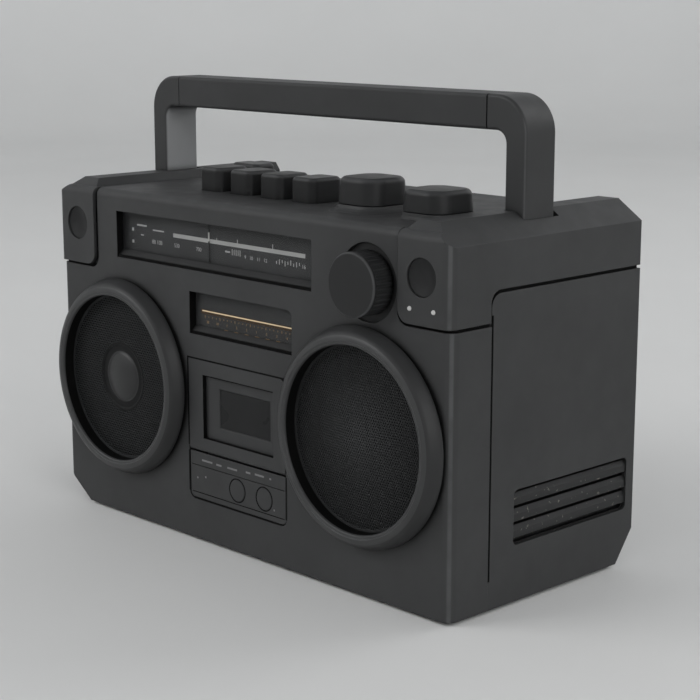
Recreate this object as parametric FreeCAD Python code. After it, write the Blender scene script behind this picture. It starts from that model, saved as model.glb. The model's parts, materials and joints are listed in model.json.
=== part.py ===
import FreeCAD, Part
import math
import os

# Portable stereo cassette radio, in millimetres.
# The case frame has +X to the listener's right, +Y to the back and +Z up, with Z = 0 at the case's
# underside and X = Y = 0 at the middle of the case. Every piece is written 8 mm further back and one
# foot height higher, so that the origin is the middle of the whole object's footprint on the ground.

V = FreeCAD.Vector

# ---- driving dimensions -------------------------------------------------------------------------
CASE_W = 427.0          # width of the case
CASE_D = 196.0          # depth of the case
DECK_Z = 258.0          # top deck
SIDE_Z = 250.0          # where the outer bevel of an end cap starts
CAP_Z = 264.0           # flat top of an end cap
WALL = 3.0              # moulded wall
SEAM = 2.4              # open shadow seam round an end cap
TONGUE, TONGUE_T = 3.0, 1.4     # inner lip that closes the seam from behind: reach and thickness
TAB_SEAM = 0.6          # the narrower gap behind its lower front tab and beside the deck
FINE = 0.3              # clearance between a moving piece and its neighbour
FOOT_H = 2.5            # how far the feet stand out
KNOB_PROUD = 16.0       # how far the tuning knob stands in front of the case

FRONT = -CASE_D / 2
BACK = CASE_D / 2
HALF_W = CASE_W / 2
PARTING_Y = -60.0       # joint plane of the front and rear cabinets
TRENCH = (1.9, 1.9)     # shadow line along that joint on both sides: width and depth
EDGE_R = 7.0            # rounding of the upright front corners
DECK_R = 6.0            # rounding of the deck's front edge

CORNER_CUT = (28.5, 20.5)       # left bottom corner, across and up
HEEL_CUT = (18.0, 24.0)         # bottom rear edge, forwards and up

CAP_X = 167.0           # inner edge of an end cap on the front
CAP_LOW = 197.0         # its lower edge at the front
CAP_SIDE = 216.0        # its lower edge along the side
CAP_R = 9.0             # its rounded lower corners
CAP_SLOPE = (169.5, 174.5)      # inner slope, deck level and top
CAP_PROUD = 2.4         # how far a cap stands in front of the case
CAP_OUTER = 192.6       # where the flat top ends and the outer bevel starts
CAP_NOSE = 12.0         # front bevel of the raised part

SPK_X, SPK_Z = 133.0, 112.5     # speaker centres, mirrored
RING_OUT, RING_IN = 77.3, 65.0
RING_PROUD = 14.5
RING_GROOVE = (2.0, 3.0)    # shadow groove at the foot of a ring: inwards and forwards
GRILLE_SET = 3.5        # front of the grille ahead of the case front
GRILLE_CAP = {"left": (18.5, 3.6), "right": (38.0, 2.2)}    # pressed dome: radius and rise

DIAL = (-140.0, 82.0, 206.0, 242.0)     # tuning dial window: x0, x1, z0, z1
METER = (-52.0, 61.5, 158.0, 190.0)     # lighted meter window
METER_R = 5.0                           # its rounded upper right corner
DOOR = (-55.0, 54.5, 68.0, 140.0)       # cassette door
PANEL = (-55.0, 54.5, 31.0, 68.0)       # small control panel under it
PANEL_LINES, PANEL_LINE_W = (35.6, 57.0), 0.8   # grooves across the panel
WINDOW_SET = 6.0        # depth of the dial and meter recesses
SILL_GROOVE = (0.8, 1.2, 1.2)   # groove at the foot of their sills: set back, width, depth
DOOR_GAP = 0.8          # clearance round the cassette door and the control panel

TUNE_X, TUNE_Z = 137.0, 219.0
TUNE_R, DISH_R = 22.0, 27.0
MIC_X, MIC_Z, MIC_R = 188.3, 228.5, 13.0
LED_X, LED_Z, LED_R = (178.1, 199.4), 207.4, 1.6

ARM_X = (182.0, 200.0)          # handle arm, inner and outer face
ARM_Y = (-14.0, 18.0)
GRIP_Z = (317.0, 341.0)
GRIP_END = 166.0                # where the grip meets the corner pieces
GRIP_WALL = 3.0                 # the grip is hollow
BEND_OUT, BEND_IN = 26.0, 9.0
ARM_FOOT = 212.0                # lower end of an arm inside the case
GRIP_SEAM = 1.2                 # joint line between the grip and a corner piece
LIP = 3.0                       # stop lip on an arm

KEY_W, KEY_D, KEY_TOP = 25.0, 31.0, 276.0
KEY_X0, KEY_PITCH, KEY_FRONT = -97.7, 34.8, -50.0
POWER = (-108.0, -74.0, -12.0, 12.0)

KNOBS = {"volume_knob": (83.0, 281.5, 53.0), "tone_knob": (146.0, 278.0, 45.4)}     # x, top, collar
KNOB_Y = -40.0
KNOB_TOP_W, KNOB_LOW_W, KNOB_R = 40.0, 42.0, 14.0
COLLAR = ((0.0, 1.0), (0.8, 0.55), (2.2, 0.22), (4.4, 0.05))    # its height above the deck, share of flare
SHAFT_R = 3.0

HINGE_Y, HINGE_Z, HINGE_R = FRONT + 3.0, 71.4, 1.2      # cassette door pins
SPINDLE_X, SPINDLE_Z = 21.25, 108.0
CHASSIS_Y = -73.0
CAPSTAN = (12.0, 84.0)
FLYWHEEL_R = 22.0
MOTOR = (-34.0, 84.0)
PULLEY_R = 4.0

BATTERY = (-100.0, 100.0, 30.0, 104.0)      # battery opening in the back
LID_PIN_UP = 3.6        # its lid's hinge above the opening's lower edge
MAST_Y, MAST_Z, MAST_PIVOT_X = 91.5, 251.5, 152.0
MAST_R, MAST_LEN = 3.5, 150.0
NEEDLE_X = -37.4        # resting place of the dial pointer
INLET = (-178.0, -142.0, 40.0, 62.0)

CAP_FRONT = FRONT - CAP_PROUD
SHIFT = V(0, KNOB_PROUD / 2, FOOT_H)


# ---- small helpers ------------------------------------------------------------------------------
def box(x0, x1, y0, y1, z0, z1):
    return Part.makeBox(x1 - x0, y1 - y0, z1 - z0, V(x0, y0, z0))


def cyl_x(y, z, r, x0, x1):
    return Part.makeCylinder(r, x1 - x0, V(x0, y, z), V(1, 0, 0))


def cyl_y(x, z, r, y0, y1):
    return Part.makeCylinder(r, y1 - y0, V(x, y0, z), V(0, 1, 0))


def cyl_z(x, y, r, z0, z1):
    return Part.makeCylinder(r, z1 - z0, V(x, y, z0), V(0, 0, 1))


def cone_y(x, z, r0, r1, y0, y1):
    return Part.makeCone(r0, r1, y1 - y0, V(x, y0, z), V(0, 1, 0))


def prism(points, along):
    return Part.Face(Part.makePolygon(points + points[:1])).extrude(along)


def prism_y(xz, y0, y1):
    return prism([V(x, y0, z) for x, z in xz], V(0, y1 - y0, 0))


def prism_x(yz, x0, x1):
    return prism([V(x0, y, z) for y, z in yz], V(x1 - x0, 0, 0))


def lathe_y(x, z, outline):
    """Turned solid about a line along Y through (x, z); outline holds (radius, y) points."""
    face = Part.Face(Part.makePolygon([V(x + r, y, z) for r, y in outline + outline[:1]]))
    return face.revolve(V(x, 0, z), V(0, 1, 0), 360)


def round_off(shape, radius, pick):
    return shape.makeFillet(radius, [e for e in shape.Edges if pick(e)])


def along(axis):
    """Picks straight edges that run along one axis, 0 X, 1 Y or 2 Z."""
    def pick(edge):
        if not isinstance(edge.Curve, Part.Line):
            return False
        d = edge.Curve.Direction
        return abs(abs((d.x, d.y, d.z)[axis]) - 1.0) < 1e-6
    return pick


def rounded_box(x0, x1, y0, y1, z0, z1, r, axis):
    """Box with the four edges along one axis rounded."""
    return round_off(box(x0, x1, y0, y1, z0, z1), r, along(axis))


def level_wire(x0, x1, y0, y1, z, r):
    """Rounded rectangle in a level plane."""
    slab = rounded_box(x0, x1, y0, y1, z, z + 1, r, 2)
    return [f for f in slab.Faces if abs(f.CenterOfMass.z - z) < 1e-6][0].OuterWire


def square_wire(x, y, z, side, r):
    """Rounded square in a level plane."""
    return level_wire(x - side / 2, x + side / 2, y - side / 2, y + side / 2, z, r)


def rim_at(z):
    """Picks the edges that lie in one level plane."""
    return lambda edge: abs(edge.BoundBox.ZMin - z) < 1e-6 and abs(edge.BoundBox.ZMax - z) < 1e-6


def dome_y(x, z, r, y, rise):
    """Spherical cap of base radius r that stands forward of the plane y."""
    ball = (r * r + rise * rise) / (2 * rise)
    sphere = Part.makeSphere(ball, V(x, y - rise + ball, z))
    return sphere.common(cyl_y(x, z, r, y - rise - 1, y + 0.2))


def mirrored(shape):
    return shape.mirror(V(0, 0, 0), V(1, 0, 0))


def both_sides(shape):
    """The shape and its mirror image, as separate solids."""
    return Part.makeCompound([shape, mirrored(shape)])


def sides():
    return (("left", -1), ("right", 1))


PIECES = {}


def keep(name, shape):
    PIECES[name] = shape


# ---- case shells --------------------------------------------------------------------------------
def case_solid(inset, proud=0.0):
    """The closed outer shape of the case, drawn in by a wall thickness, with its front moved forward."""
    h, low, deck, side = HALF_W - inset, inset, DECK_Z - inset, SIDE_Z - inset * 0.4
    y0, y1 = FRONT - proud + inset, BACK - inset
    shoulder = HALF_W - (DECK_Z - SIDE_Z) * (HALF_W - CAP_OUTER) / (CAP_Z - SIDE_Z) - inset
    cut_x, cut_z = CORNER_CUT
    outline = [(-HALF_W + cut_x + inset * 0.4, low), (h, low), (h, side), (shoulder, deck),
               (-shoulder, deck), (-h, side), (-h, cut_z + inset * 0.4)]
    body = prism_y(outline, y0, y1)
    front_top = [e for e in body.Edges if along(0)(e)
                 and abs(e.CenterOfMass.y - y0) < 1e-6 and abs(e.CenterOfMass.z - deck) < 1e-6]
    body = body.makeFillet(max(DECK_R - inset, 1.0), front_top)
    raised = prism_y([(CAP_SLOPE[0] + inset, deck - 9), (CAP_SLOPE[0] + inset, deck),
                      (CAP_SLOPE[1] + inset, CAP_Z - inset), (CAP_OUTER - inset * 0.3, CAP_Z - inset),
                      (h, side), (h, deck - 9)], y0, y1)
    nose = prism_x([(y0 - 1, CAP_Z - CAP_NOSE - 1), (y0 + CAP_NOSE + 1, CAP_Z - inset + 1),
                    (y0 - 1, CAP_Z + 1)], 0, HALF_W + 1)
    raised = raised.cut(nose)
    body = body.fuse([raised, mirrored(raised)]).removeSplitter()
    column = round_off(box(-h, h, y0, y1, -1, CAP_Z + 1), max(EDGE_R - inset, 1.0),
                       lambda e: along(2)(e) and e.CenterOfMass.y < 0)
    deep, tall = HEEL_CUT
    heel = prism_x([(y1 + 1, low - 1), (y1 + 1, low + tall - inset * 0.4 + tall / deep),
                    (y1 - deep + inset * 0.4 - deep / tall, low - 1)], -h - 1, h + 1)
    return body.common(column).cut(heel)


def rear_zone(forward, up):
    """Side outline of the rear cabinet below the end caps, with its rounded upper front corner."""
    zone = box(-HALF_W - 2, HALF_W + 2, PARTING_Y - forward, BACK + 2, -2, CAP_SIDE + up)
    return round_off(zone, CAP_R, lambda e: along(0)(e) and e.CenterOfMass.z > 0 and e.CenterOfMass.y < 0)


def cap_zone(grow):
    """Space of the right end cap."""
    zone = box(CAP_X - grow, HALF_W + 2, CAP_FRONT - 2, BACK + 2, CAP_LOW - grow, CAP_Z + 2)
    zone = round_off(zone, CAP_R, lambda e: along(1)(e) and e.CenterOfMass.x < HALF_W
                     and e.CenterOfMass.z < DECK_Z)
    share = 1.0 - grow / SEAM
    return zone.cut(rear_zone(TAB_SEAM * share, SEAM * share)).cut(deck_edge(TAB_SEAM * grow / SEAM))


def deck_edge(gap):
    """The strip of deck that runs on to the foot of a cap's inner slope, less a gap."""
    return box(CAP_X - 9, CAP_SLOPE[0] - gap, FRONT + DECK_R, BACK + 2, DECK_Z - WALL, DECK_Z)


def window_tunnel(x0, x1, z0, z1):
    """Recess walls round a window, with a sloping lower sill."""
    y0, y1 = FRONT + 0.5, FRONT + WINDOW_SET
    frame = box(x0 - 2, x1 + 2, y0, y1, z0 - 2, z1 + 2)
    sill = WINDOW_SET
    hollow = prism_x([(FRONT - 1, z1), (FRONT - 1, z0 - 1), (FRONT, z0), (y1, z0 + sill),
                      (y1 + 1, z0 + sill), (y1 + 1, z1)], x0, x1)
    return frame.cut(hollow)


def seam_tongue():
    """Thin lip inside the walls that bridges the seams round both end caps, below the deck."""
    lining = case_solid(WALL).cut(case_solid(WALL + TONGUE_T))
    band = cap_zone(SEAM + TONGUE).cut(cap_zone(-TONGUE))
    reach = box(CAP_X - SEAM - TONGUE, HALF_W, FRONT, BACK, CAP_LOW - SEAM - TONGUE, SIDE_Z - WALL)
    return both_sides(lining.common(band).common(reach))


def make_case():
    shell = case_solid(0).cut(case_solid(WALL))
    caps = both_sides(cap_zone(SEAM))
    tongue = seam_tongue()
    front_half = box(-HALF_W - 1, HALF_W + 1, FRONT - 1, PARTING_Y, -1, CAP_Z + 1)

    front = shell.common(front_half).cut(caps).fuse(tongue.common(front_half))
    for window in (DIAL, METER):
        x0, x1, z0, z1 = window
        opening = box(x0, x1, FRONT - 1, FRONT + WALL + 1, z0, z1)
        if window is METER:
            opening = round_off(opening, METER_R, lambda e: along(1)(e) and e.CenterOfMass.x > x1 - 1
                                and e.CenterOfMass.z > z1 - 1)
        front = front.cut(opening).fuse(window_tunnel(x0, x1, z0, z1).cut(opening))
        back, wide, deep = SILL_GROOVE
        front = front.cut(box(x0, x1, FRONT + back, FRONT + back + wide, z0 - deep, z0 + WINDOW_SET))
    front = front.cut(box(DOOR[0], DOOR[1], FRONT - 1, FRONT + WALL + 1, DOOR[2] - 2, DOOR[3]))
    front = front.cut(rounded_box(PANEL[0], PANEL[1], FRONT - 1, FRONT + WALL + 1,
                                  PANEL[2], PANEL[3] + 9, 5, 1))
    for x0, x1 in ((DOOR[0] - 4.5, DOOR[0]), (DOOR[1], DOOR[1] + 4.5)):
        front = front.fuse(box(x0, x1, FRONT + 1, FRONT + 6.5, HINGE_Z - 3.5, HINGE_Z + 3.5))
        front = front.cut(cyl_x(HINGE_Y, HINGE_Z, HINGE_R + 0.06, x0 - 1, x1 + 1))
    for _, s in sides():
        front = front.cut(cyl_y(s * SPK_X, SPK_Z, RING_IN + 1.5, FRONT - 1, FRONT + WALL + 1))
    dish = cyl_y(TUNE_X, TUNE_Z, DISH_R + 2, FRONT + 0.5, FRONT + 5.5)
    front = front.fuse(dish).cut(cyl_y(TUNE_X, TUNE_Z, DISH_R, FRONT - 1, FRONT + 3.5))
    front = front.cut(cyl_y(TUNE_X, TUNE_Z, SHAFT_R + 0.06, FRONT, FRONT + 8))
    keep("front_cabinet", front.removeSplitter())

    rear = shell.common(box(-HALF_W - 1, HALF_W + 1, PARTING_Y, BACK + 1, -1, DECK_Z - WALL))
    rear = rear.cut(caps).fuse(tongue.cut(front_half))
    wide, deep = TRENCH
    trench = box(-HALF_W, HALF_W, PARTING_Y - 1, PARTING_Y + wide, 20, CAP_LOW + 5)
    rear = rear.cut(trench.cut(box(-HALF_W + deep, HALF_W - deep, PARTING_Y - 2, PARTING_Y + 3, 0, CAP_Z)))
    notch_z = MAST_Z - 6
    rear = rear.fuse(box(-CAP_X + 3, CAP_X - 3, MAST_Y - 8.5, BACK, notch_z - 3, DECK_Z - WALL))
    rear = rear.cut(box(-CAP_X + 6, CAP_X - 6, MAST_Y - 5.5, BACK + 1, notch_z, DECK_Z + 1))
    x0, x1, z0, z1 = BATTERY
    rear = rear.cut(box(x0, x1, BACK - WALL - 1, BACK + 1, z0, z1))
    x0, x1, z0, z1 = INLET
    rear = rear.cut(box(x0, x1, BACK - WALL - 1, BACK + 1, z0, z1))
    for _, s in sides():
        x0, x1 = sorted((s * (HALF_W - WALL - 1), s * (HALF_W + 1)))
        rear = rear.cut(vent_outline(x0, x1, 0))
    keep("rear_cabinet", rear.removeSplitter())

    edge = CAP_SLOPE[0] - TAB_SEAM
    deck = case_solid(0).common(box(-edge, edge, PARTING_Y, MAST_Y - 5.5, DECK_Z - WALL, DECK_Z))
    for i in range(4):
        x = KEY_X0 + KEY_PITCH * i
        deck = deck.cut(rounded_box(x - 0.6, x + KEY_W + 0.6, KEY_FRONT - 0.6, KEY_FRONT + KEY_D + 0.6,
                                    DECK_Z - 9, DECK_Z + 1, 6.5, 2))
    x0, x1, y0, y1 = POWER
    deck = deck.cut(rounded_box(x0 - 1.6, x1 + 1.6, y0 - 1.6, y1 + 1.6, DECK_Z - 9, DECK_Z + 1, 6.5, 2))
    for x, _, wide in KNOBS.values():
        rings = [square_wire(x, KNOB_Y, DECK_Z + up, KNOB_LOW_W + share * (wide - KNOB_LOW_W), KNOB_R)
                 for up, share in COLLAR]
        deck = deck.fuse(Part.makeLoft(rings, True, True))
        deck = deck.cut(cyl_z(x, KNOB_Y, SHAFT_R + 0.06, DECK_Z - 9, DECK_Z + 9))
    keep("top_deck", deck.removeSplitter())

    cap_shell = case_solid(0, CAP_PROUD).cut(case_solid(WALL, CAP_PROUD))
    for name, s in sides():
        zone = cap_zone(0)
        cap = cap_shell.common(zone if s > 0 else mirrored(zone))
        x = s * MIC_X
        cap = cap.fuse(cyl_y(x, MIC_Z, MIC_R + 2, CAP_FRONT + 1, CAP_FRONT + 5)).cut(
            cyl_y(x, MIC_Z, MIC_R, CAP_FRONT - 1, CAP_FRONT + 6))
        slot = box(ARM_X[0] - FINE, ARM_X[1] + FINE, ARM_Y[0] - FINE, ARM_Y[1] + 4, CAP_Z - 20, CAP_Z + 1)
        cap = cap.cut(slot if s > 0 else mirrored(slot))
        if s > 0:
            for lx in LED_X:
                cap = cap.cut(cyl_y(lx, LED_Z, LED_R, CAP_FRONT - 1, CAP_FRONT + WALL + 1))
        keep("end_cap_" + name, cap.removeSplitter())


def vent_outline(x0, x1, shrink):
    y0, y1, z0, z1 = -34.5, 89.5, 40.0, 79.0
    return rounded_box(x0, x1, y0 + shrink, y1 - shrink, z0 + shrink, z1 - shrink, 4, 0)


def make_trim():
    vent = vent_outline(HALF_W - 9, HALF_W - WALL, -2.5)
    vent = vent.cut(vent_outline(HALF_W - 6.5, HALF_W, 0.8))
    for z in (45.0, 56.5, 68.0):
        slat = prism_x([(-34.5, z), (89.5, z), (89.5, z + 8.5), (-34.5, z + 8.5)], HALF_W - 7, HALF_W - 1)
        slope = prism_y([(HALF_W - 3, z + 9), (HALF_W, z + 9), (HALF_W, z + 3)], -40, 95)
        vent = vent.fuse(slat.cut(slope))
    keep("side_vents", both_sides(vent.removeSplitter()))

    rim, ball = CAP_FRONT + 1.5, 33.0
    cup = cyl_y(MIC_X, MIC_Z, MIC_R - 0.05, rim, CAP_FRONT + 5)
    cup = cup.cut(Part.makeSphere(ball, V(MIC_X, rim + 2.4 - ball, MIC_Z)))
    keep("microphones", both_sides(cup))
    r = LED_R - 0.02
    leds = [cyl_y(x, LED_Z, r, CAP_FRONT, CAP_FRONT + 6).fuse(Part.makeSphere(r, V(x, CAP_FRONT, LED_Z)))
            for x in LED_X]
    keep("indicator_leds", Part.makeCompound(leds))

    foot = cyl_z(HALF_W - 46, FRONT + 26, 11, -FOOT_H, 0)
    foot = foot.makeFillet(1.0, [e for e in foot.Edges if e.CenterOfMass.z < -FOOT_H + 0.1])
    rear_foot = foot.copy()
    rear_foot.translate(V(0, BACK - FRONT - 26 - 46, 0))
    keep("rubber_feet", Part.makeCompound([foot, mirrored(foot), rear_foot, mirrored(rear_foot)]))

    screws = []
    for x, z in ((-190, 40), (190, 40), (-190, 200), (190, 200), (-60, 200), (60, 200)):
        head = lathe_y(x, z, [(0, BACK + 0.0), (3.2, BACK), (3.2, BACK - 1.6), (1.7, BACK - WALL),
                              (1.7, BACK - 14), (0, BACK - 14)])
        cross = box(x - 2, x + 2, BACK - 1.2, BACK + 1, z - 0.4, z + 0.4).fuse(
            box(x - 0.4, x + 0.4, BACK - 1.2, BACK + 1, z - 2, z + 2))
        screws.append(head.cut(cross))
        seat = lathe_y(x, z, [(0, BACK + 1), (3.3, BACK + 1), (3.3, BACK - 1.6), (1.75, BACK - WALL),
                              (1.75, BACK - WALL - 2), (0, BACK - WALL - 2)])
        PIECES["rear_cabinet"] = PIECES["rear_cabinet"].cut(seat)
    keep("case_screws", Part.makeCompound(screws))


# ---- carrying handle ----------------------------------------------------------------------------
def make_handle():
    x, top, low = ARM_X[1], GRIP_Z[1], GRIP_Z[0]
    outer = box(-x, x, ARM_Y[0], ARM_Y[1], ARM_FOOT, top)
    outer = round_off(outer, BEND_OUT, lambda e: along(1)(e) and e.CenterOfMass.z > low)
    inner = box(-ARM_X[0], ARM_X[0], ARM_Y[0] - 1, ARM_Y[1] + 1, ARM_FOOT - 1, low)
    inner = round_off(inner, BEND_IN, lambda e: along(1)(e) and e.CenterOfMass.z > low - 1)
    bow = outer.cut(inner)
    rims = [e for e in bow.Edges if e.CenterOfMass.z > ARM_FOOT + 1
            and min(abs(e.CenterOfMass.y - face) for face in ARM_Y) < 1e-6]
    bow = bow.makeFillet(2.5, rims)
    hollow = rounded_box(-GRIP_END + 6, GRIP_END - 6, ARM_Y[0] + GRIP_WALL, ARM_Y[1] - GRIP_WALL,
                         low + GRIP_WALL, top - GRIP_WALL, 2, 0)
    keep("handle_grip", bow.common(
        box(-GRIP_END + GRIP_SEAM, GRIP_END - GRIP_SEAM, -40, 40, 200, 400)).cut(hollow))
    for name, s in sides():
        x0, x1 = sorted((s * GRIP_END, s * (x + 1)))
        arm = bow.common(box(x0, x1, -40, 40, 200, 400))
        lip_x = sorted((s * ARM_X[0], s * ARM_X[1]))
        lip = box(lip_x[0], lip_x[1], ARM_Y[0] - LIP, ARM_Y[1] + LIP, 249.0, 253.0)
        keep("handle_arm_" + name, arm.fuse(lip).removeSplitter())
    gx0, gx1 = ARM_X[0] - FINE, ARM_X[1] + FINE
    gy0, gy1 = ARM_Y[0] - LIP - FINE, ARM_Y[1] + LIP + FINE
    guide = box(gx0 - 2, gx1 + 2, gy0 - 2, gy1 + 2, 176.0, 250.0).cut(box(gx0, gx1, gy0, gy1, 170.0, 260.0))
    bush = box(gx0, gx1, gy0, gy1, 206.0, 211.0).cut(
        box(gx0, gx1, ARM_Y[0] - FINE, ARM_Y[1] + FINE, 200.0, 260.0))
    keep("handle_guides", both_sides(guide.fuse(bush).removeSplitter()))


# ---- keys and knobs on the deck -----------------------------------------------------------------
def make_deck_controls():
    for i in range(4):
        x = KEY_X0 + KEY_PITCH * i
        key = rounded_box(x, x + KEY_W, KEY_FRONT, KEY_FRONT + KEY_D, DECK_Z - 4, KEY_TOP, 6, 2)
        key = round_off(key, 3.0, rim_at(KEY_TOP))
        stem = box(x + 8, x + KEY_W - 8, KEY_FRONT + 9, KEY_FRONT + KEY_D - 9, DECK_Z - 16, DECK_Z - 4)
        keep("tape_key_%d" % (i + 1), key.fuse(stem))
    x0, x1, y0, y1 = POWER
    key = Part.makeLoft([level_wire(x0 - 1, x1 + 1, y0 - 1, y1 + 1, DECK_Z - 4, 6),
                         level_wire(x0 + 1.5, x1 - 1.5, y0 + 1.5, y1 - 1.5, KEY_TOP, 6)], True, True)
    key = round_off(key, 3.0, rim_at(KEY_TOP))
    keep("power_key", key.fuse(box(-95, -87, -4, 4, DECK_Z - 16, DECK_Z - 4)))

    pots = []
    for name, (x, top, _) in KNOBS.items():
        low = DECK_Z + COLLAR[-1][0] + 0.5
        knob = Part.makeLoft([square_wire(x, KNOB_Y, low, KNOB_LOW_W, KNOB_R),
                              square_wire(x, KNOB_Y, top, KNOB_TOP_W, KNOB_R)], True, True)
        knob = round_off(knob, 4.2, rim_at(top))
        keep(name, knob.fuse(cyl_z(x, KNOB_Y, SHAFT_R, DECK_Z - 14, low + 2)))
        pot = cyl_z(x, KNOB_Y, 9, DECK_Z - 18, DECK_Z - 5)
        pot = pot.fuse(cyl_z(x, KNOB_Y, 5, DECK_Z - 5, DECK_Z - WALL))
        pot = pot.fuse(box(x - 8, x + 8, KNOB_Y, KNOB_Y + 13, DECK_Z - 17, DECK_Z - 15))
        pots.append(pot.cut(cyl_z(x, KNOB_Y, SHAFT_R + 0.06, DECK_Z - 15, DECK_Z)))
    keep("control_pots", Part.makeCompound(pots))


# ---- speakers -----------------------------------------------------------------------------------
def make_speakers():
    for name, s in sides():
        x, z, f = s * SPK_X, SPK_Z, FRONT
        lip, sheet = f - RING_PROUD, f - GRILLE_SET
        foot, foot_y = RING_OUT - RING_GROOVE[0], f - RING_GROOVE[1]
        keep("speaker_ring_" + name, lathe_y(x, z, [
            (foot, f), (foot, foot_y), (RING_OUT, foot_y), (RING_OUT - 0.2, f - 5.5),
            (RING_OUT - 2.4, f - 9.6), (RING_OUT - 5.1, lip + 1.9), (RING_OUT - 7.5, lip + 0.2),
            (RING_OUT - 9.3, lip), (RING_IN + 1.2, lip + 0.6), (RING_IN + 0.2, lip + 1.9),
            (RING_IN, lip + 3.0), (RING_IN, sheet), (RING_IN + 1.4, sheet), (RING_IN + 1.4, f)]))
        grille = lathe_y(x, z, [
            (0, sheet), (RING_IN + 1.3, sheet), (RING_IN + 1.3, f),
            (RING_IN - 0.6, f), (RING_IN - 0.6, sheet + 1), (0, sheet + 1)])
        r, rise = GRILLE_CAP[name]
        keep("speaker_grille_" + name, grille.fuse(dome_y(x, z, r, sheet, rise)).removeSplitter())
        y = f + WALL
        frame = lathe_y(x, z, [(60, y), (71, y), (71, y + 2), (62, y + 2), (40, y + 30), (40, y + 34),
                               (14, y + 34), (14, y + 32), (38, y + 32), (38, y + 29.4), (60, y + 1.4)])
        for k in range(4):
            a = math.radians(45 + 90 * k)
            slot = cyl_y(x + 50 * math.cos(a), z + 50 * math.sin(a), 11, y + 4, y + 28)
            frame = frame.cut(slot)
        magnet = lathe_y(x, z, [(15, y + 34), (38, y + 34), (38, y + 50), (15, y + 50)])
        keep("speaker_driver_" + name, Part.makeCompound([frame, magnet]))
        keep("speaker_cone_" + name, lathe_y(x, z, [
            (0, y - 1.5), (9, y - 0.6), (15, y + 2.4), (18, y + 6.5), (18.6, y + 14), (52, y + 1.5),
            (55, y - 0.5), (58, y - 0.5), (60, y + 0.9), (59.4, y + 1.3), (57.6, y + 0.4), (55.6, y + 0.4),
            (52.4, y + 2.6),
            (19.6, y + 15.2), (13, y + 15.2), (13, y + 33), (12, y + 33), (12, y + 14.2), (0, y + 14.2)]))


# ---- dial, meter and tuning knob ----------------------------------------------------------------
def make_dial():
    y = FRONT + WINDOW_SET
    for name, (x0, x1, z0, z1) in (("dial", DIAL), ("meter", METER)):
        keep(name + "_lens", box(x0 - 1.5, x1 + 1.5, y, y + 1, z0 + 4, z1 + 1.5))
        gap = 2.2 if name == "dial" else 0
        keep(name + "_scale", box(x0 - 6, x1 + 6, y + 1 + gap, y + 2.5 + gap, z0 - 2, z1 + 4))
    x0, x1 = NEEDLE_X - 0.4, NEEDLE_X + 0.4
    needle = box(x0, x1, y + 1.5, y + 2.3, DIAL[2] + 5, DIAL[3] + 3)
    slide = box(x0 - 4, x1 + 4, y + 1.5, y + 2.9, DIAL[3] + 5.2, DIAL[3] + 9)
    neck = box(x0, x1, y + 1.5, y + 2.3, DIAL[3] + 2, DIAL[3] + 6)
    keep("dial_pointer", needle.fuse([slide, neck]).removeSplitter())

    knob = cyl_y(TUNE_X, TUNE_Z, TUNE_R, FRONT - KNOB_PROUD, FRONT + 1.5)
    knob = knob.makeChamfer(1.0, [e for e in knob.Edges if abs(e.CenterOfMass.y - FRONT + KNOB_PROUD) < 1e-6])
    flutes = [cyl_y(TUNE_X + (TUNE_R + 0.7) * math.cos(math.radians(10 * k)),
                    TUNE_Z + (TUNE_R + 0.7) * math.sin(math.radians(10 * k)), 1.2,
                    FRONT - KNOB_PROUD + 3, FRONT + 3) for k in range(36)]
    knob = knob.cut(Part.makeCompound(flutes))
    knob = knob.fuse(cyl_y(TUNE_X, TUNE_Z, SHAFT_R, FRONT + 1, FRONT + 22))
    keep("tuning_knob", knob)
    y = FRONT + 6.5
    tuner = box(TUNE_X - 14, TUNE_X + 14, y + 3, y + 25, TUNE_Z - 14, TUNE_Z + 14)
    for k in range(5):
        vane = y + 8 + 3 * k
        tuner = tuner.cut(box(TUNE_X - 15, TUNE_X + 15, vane, vane + 1.4, TUNE_Z - 15, TUNE_Z - 4))
    tuner = tuner.fuse(box(TUNE_X - 16, TUNE_X + 16, y - 1, y + 3.5, TUNE_Z - 16, TUNE_Z + 16))
    keep("tuning_capacitor", tuner.cut(cyl_y(TUNE_X, TUNE_Z, SHAFT_R + 0.06, y - 2, FRONT + 24)))


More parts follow.
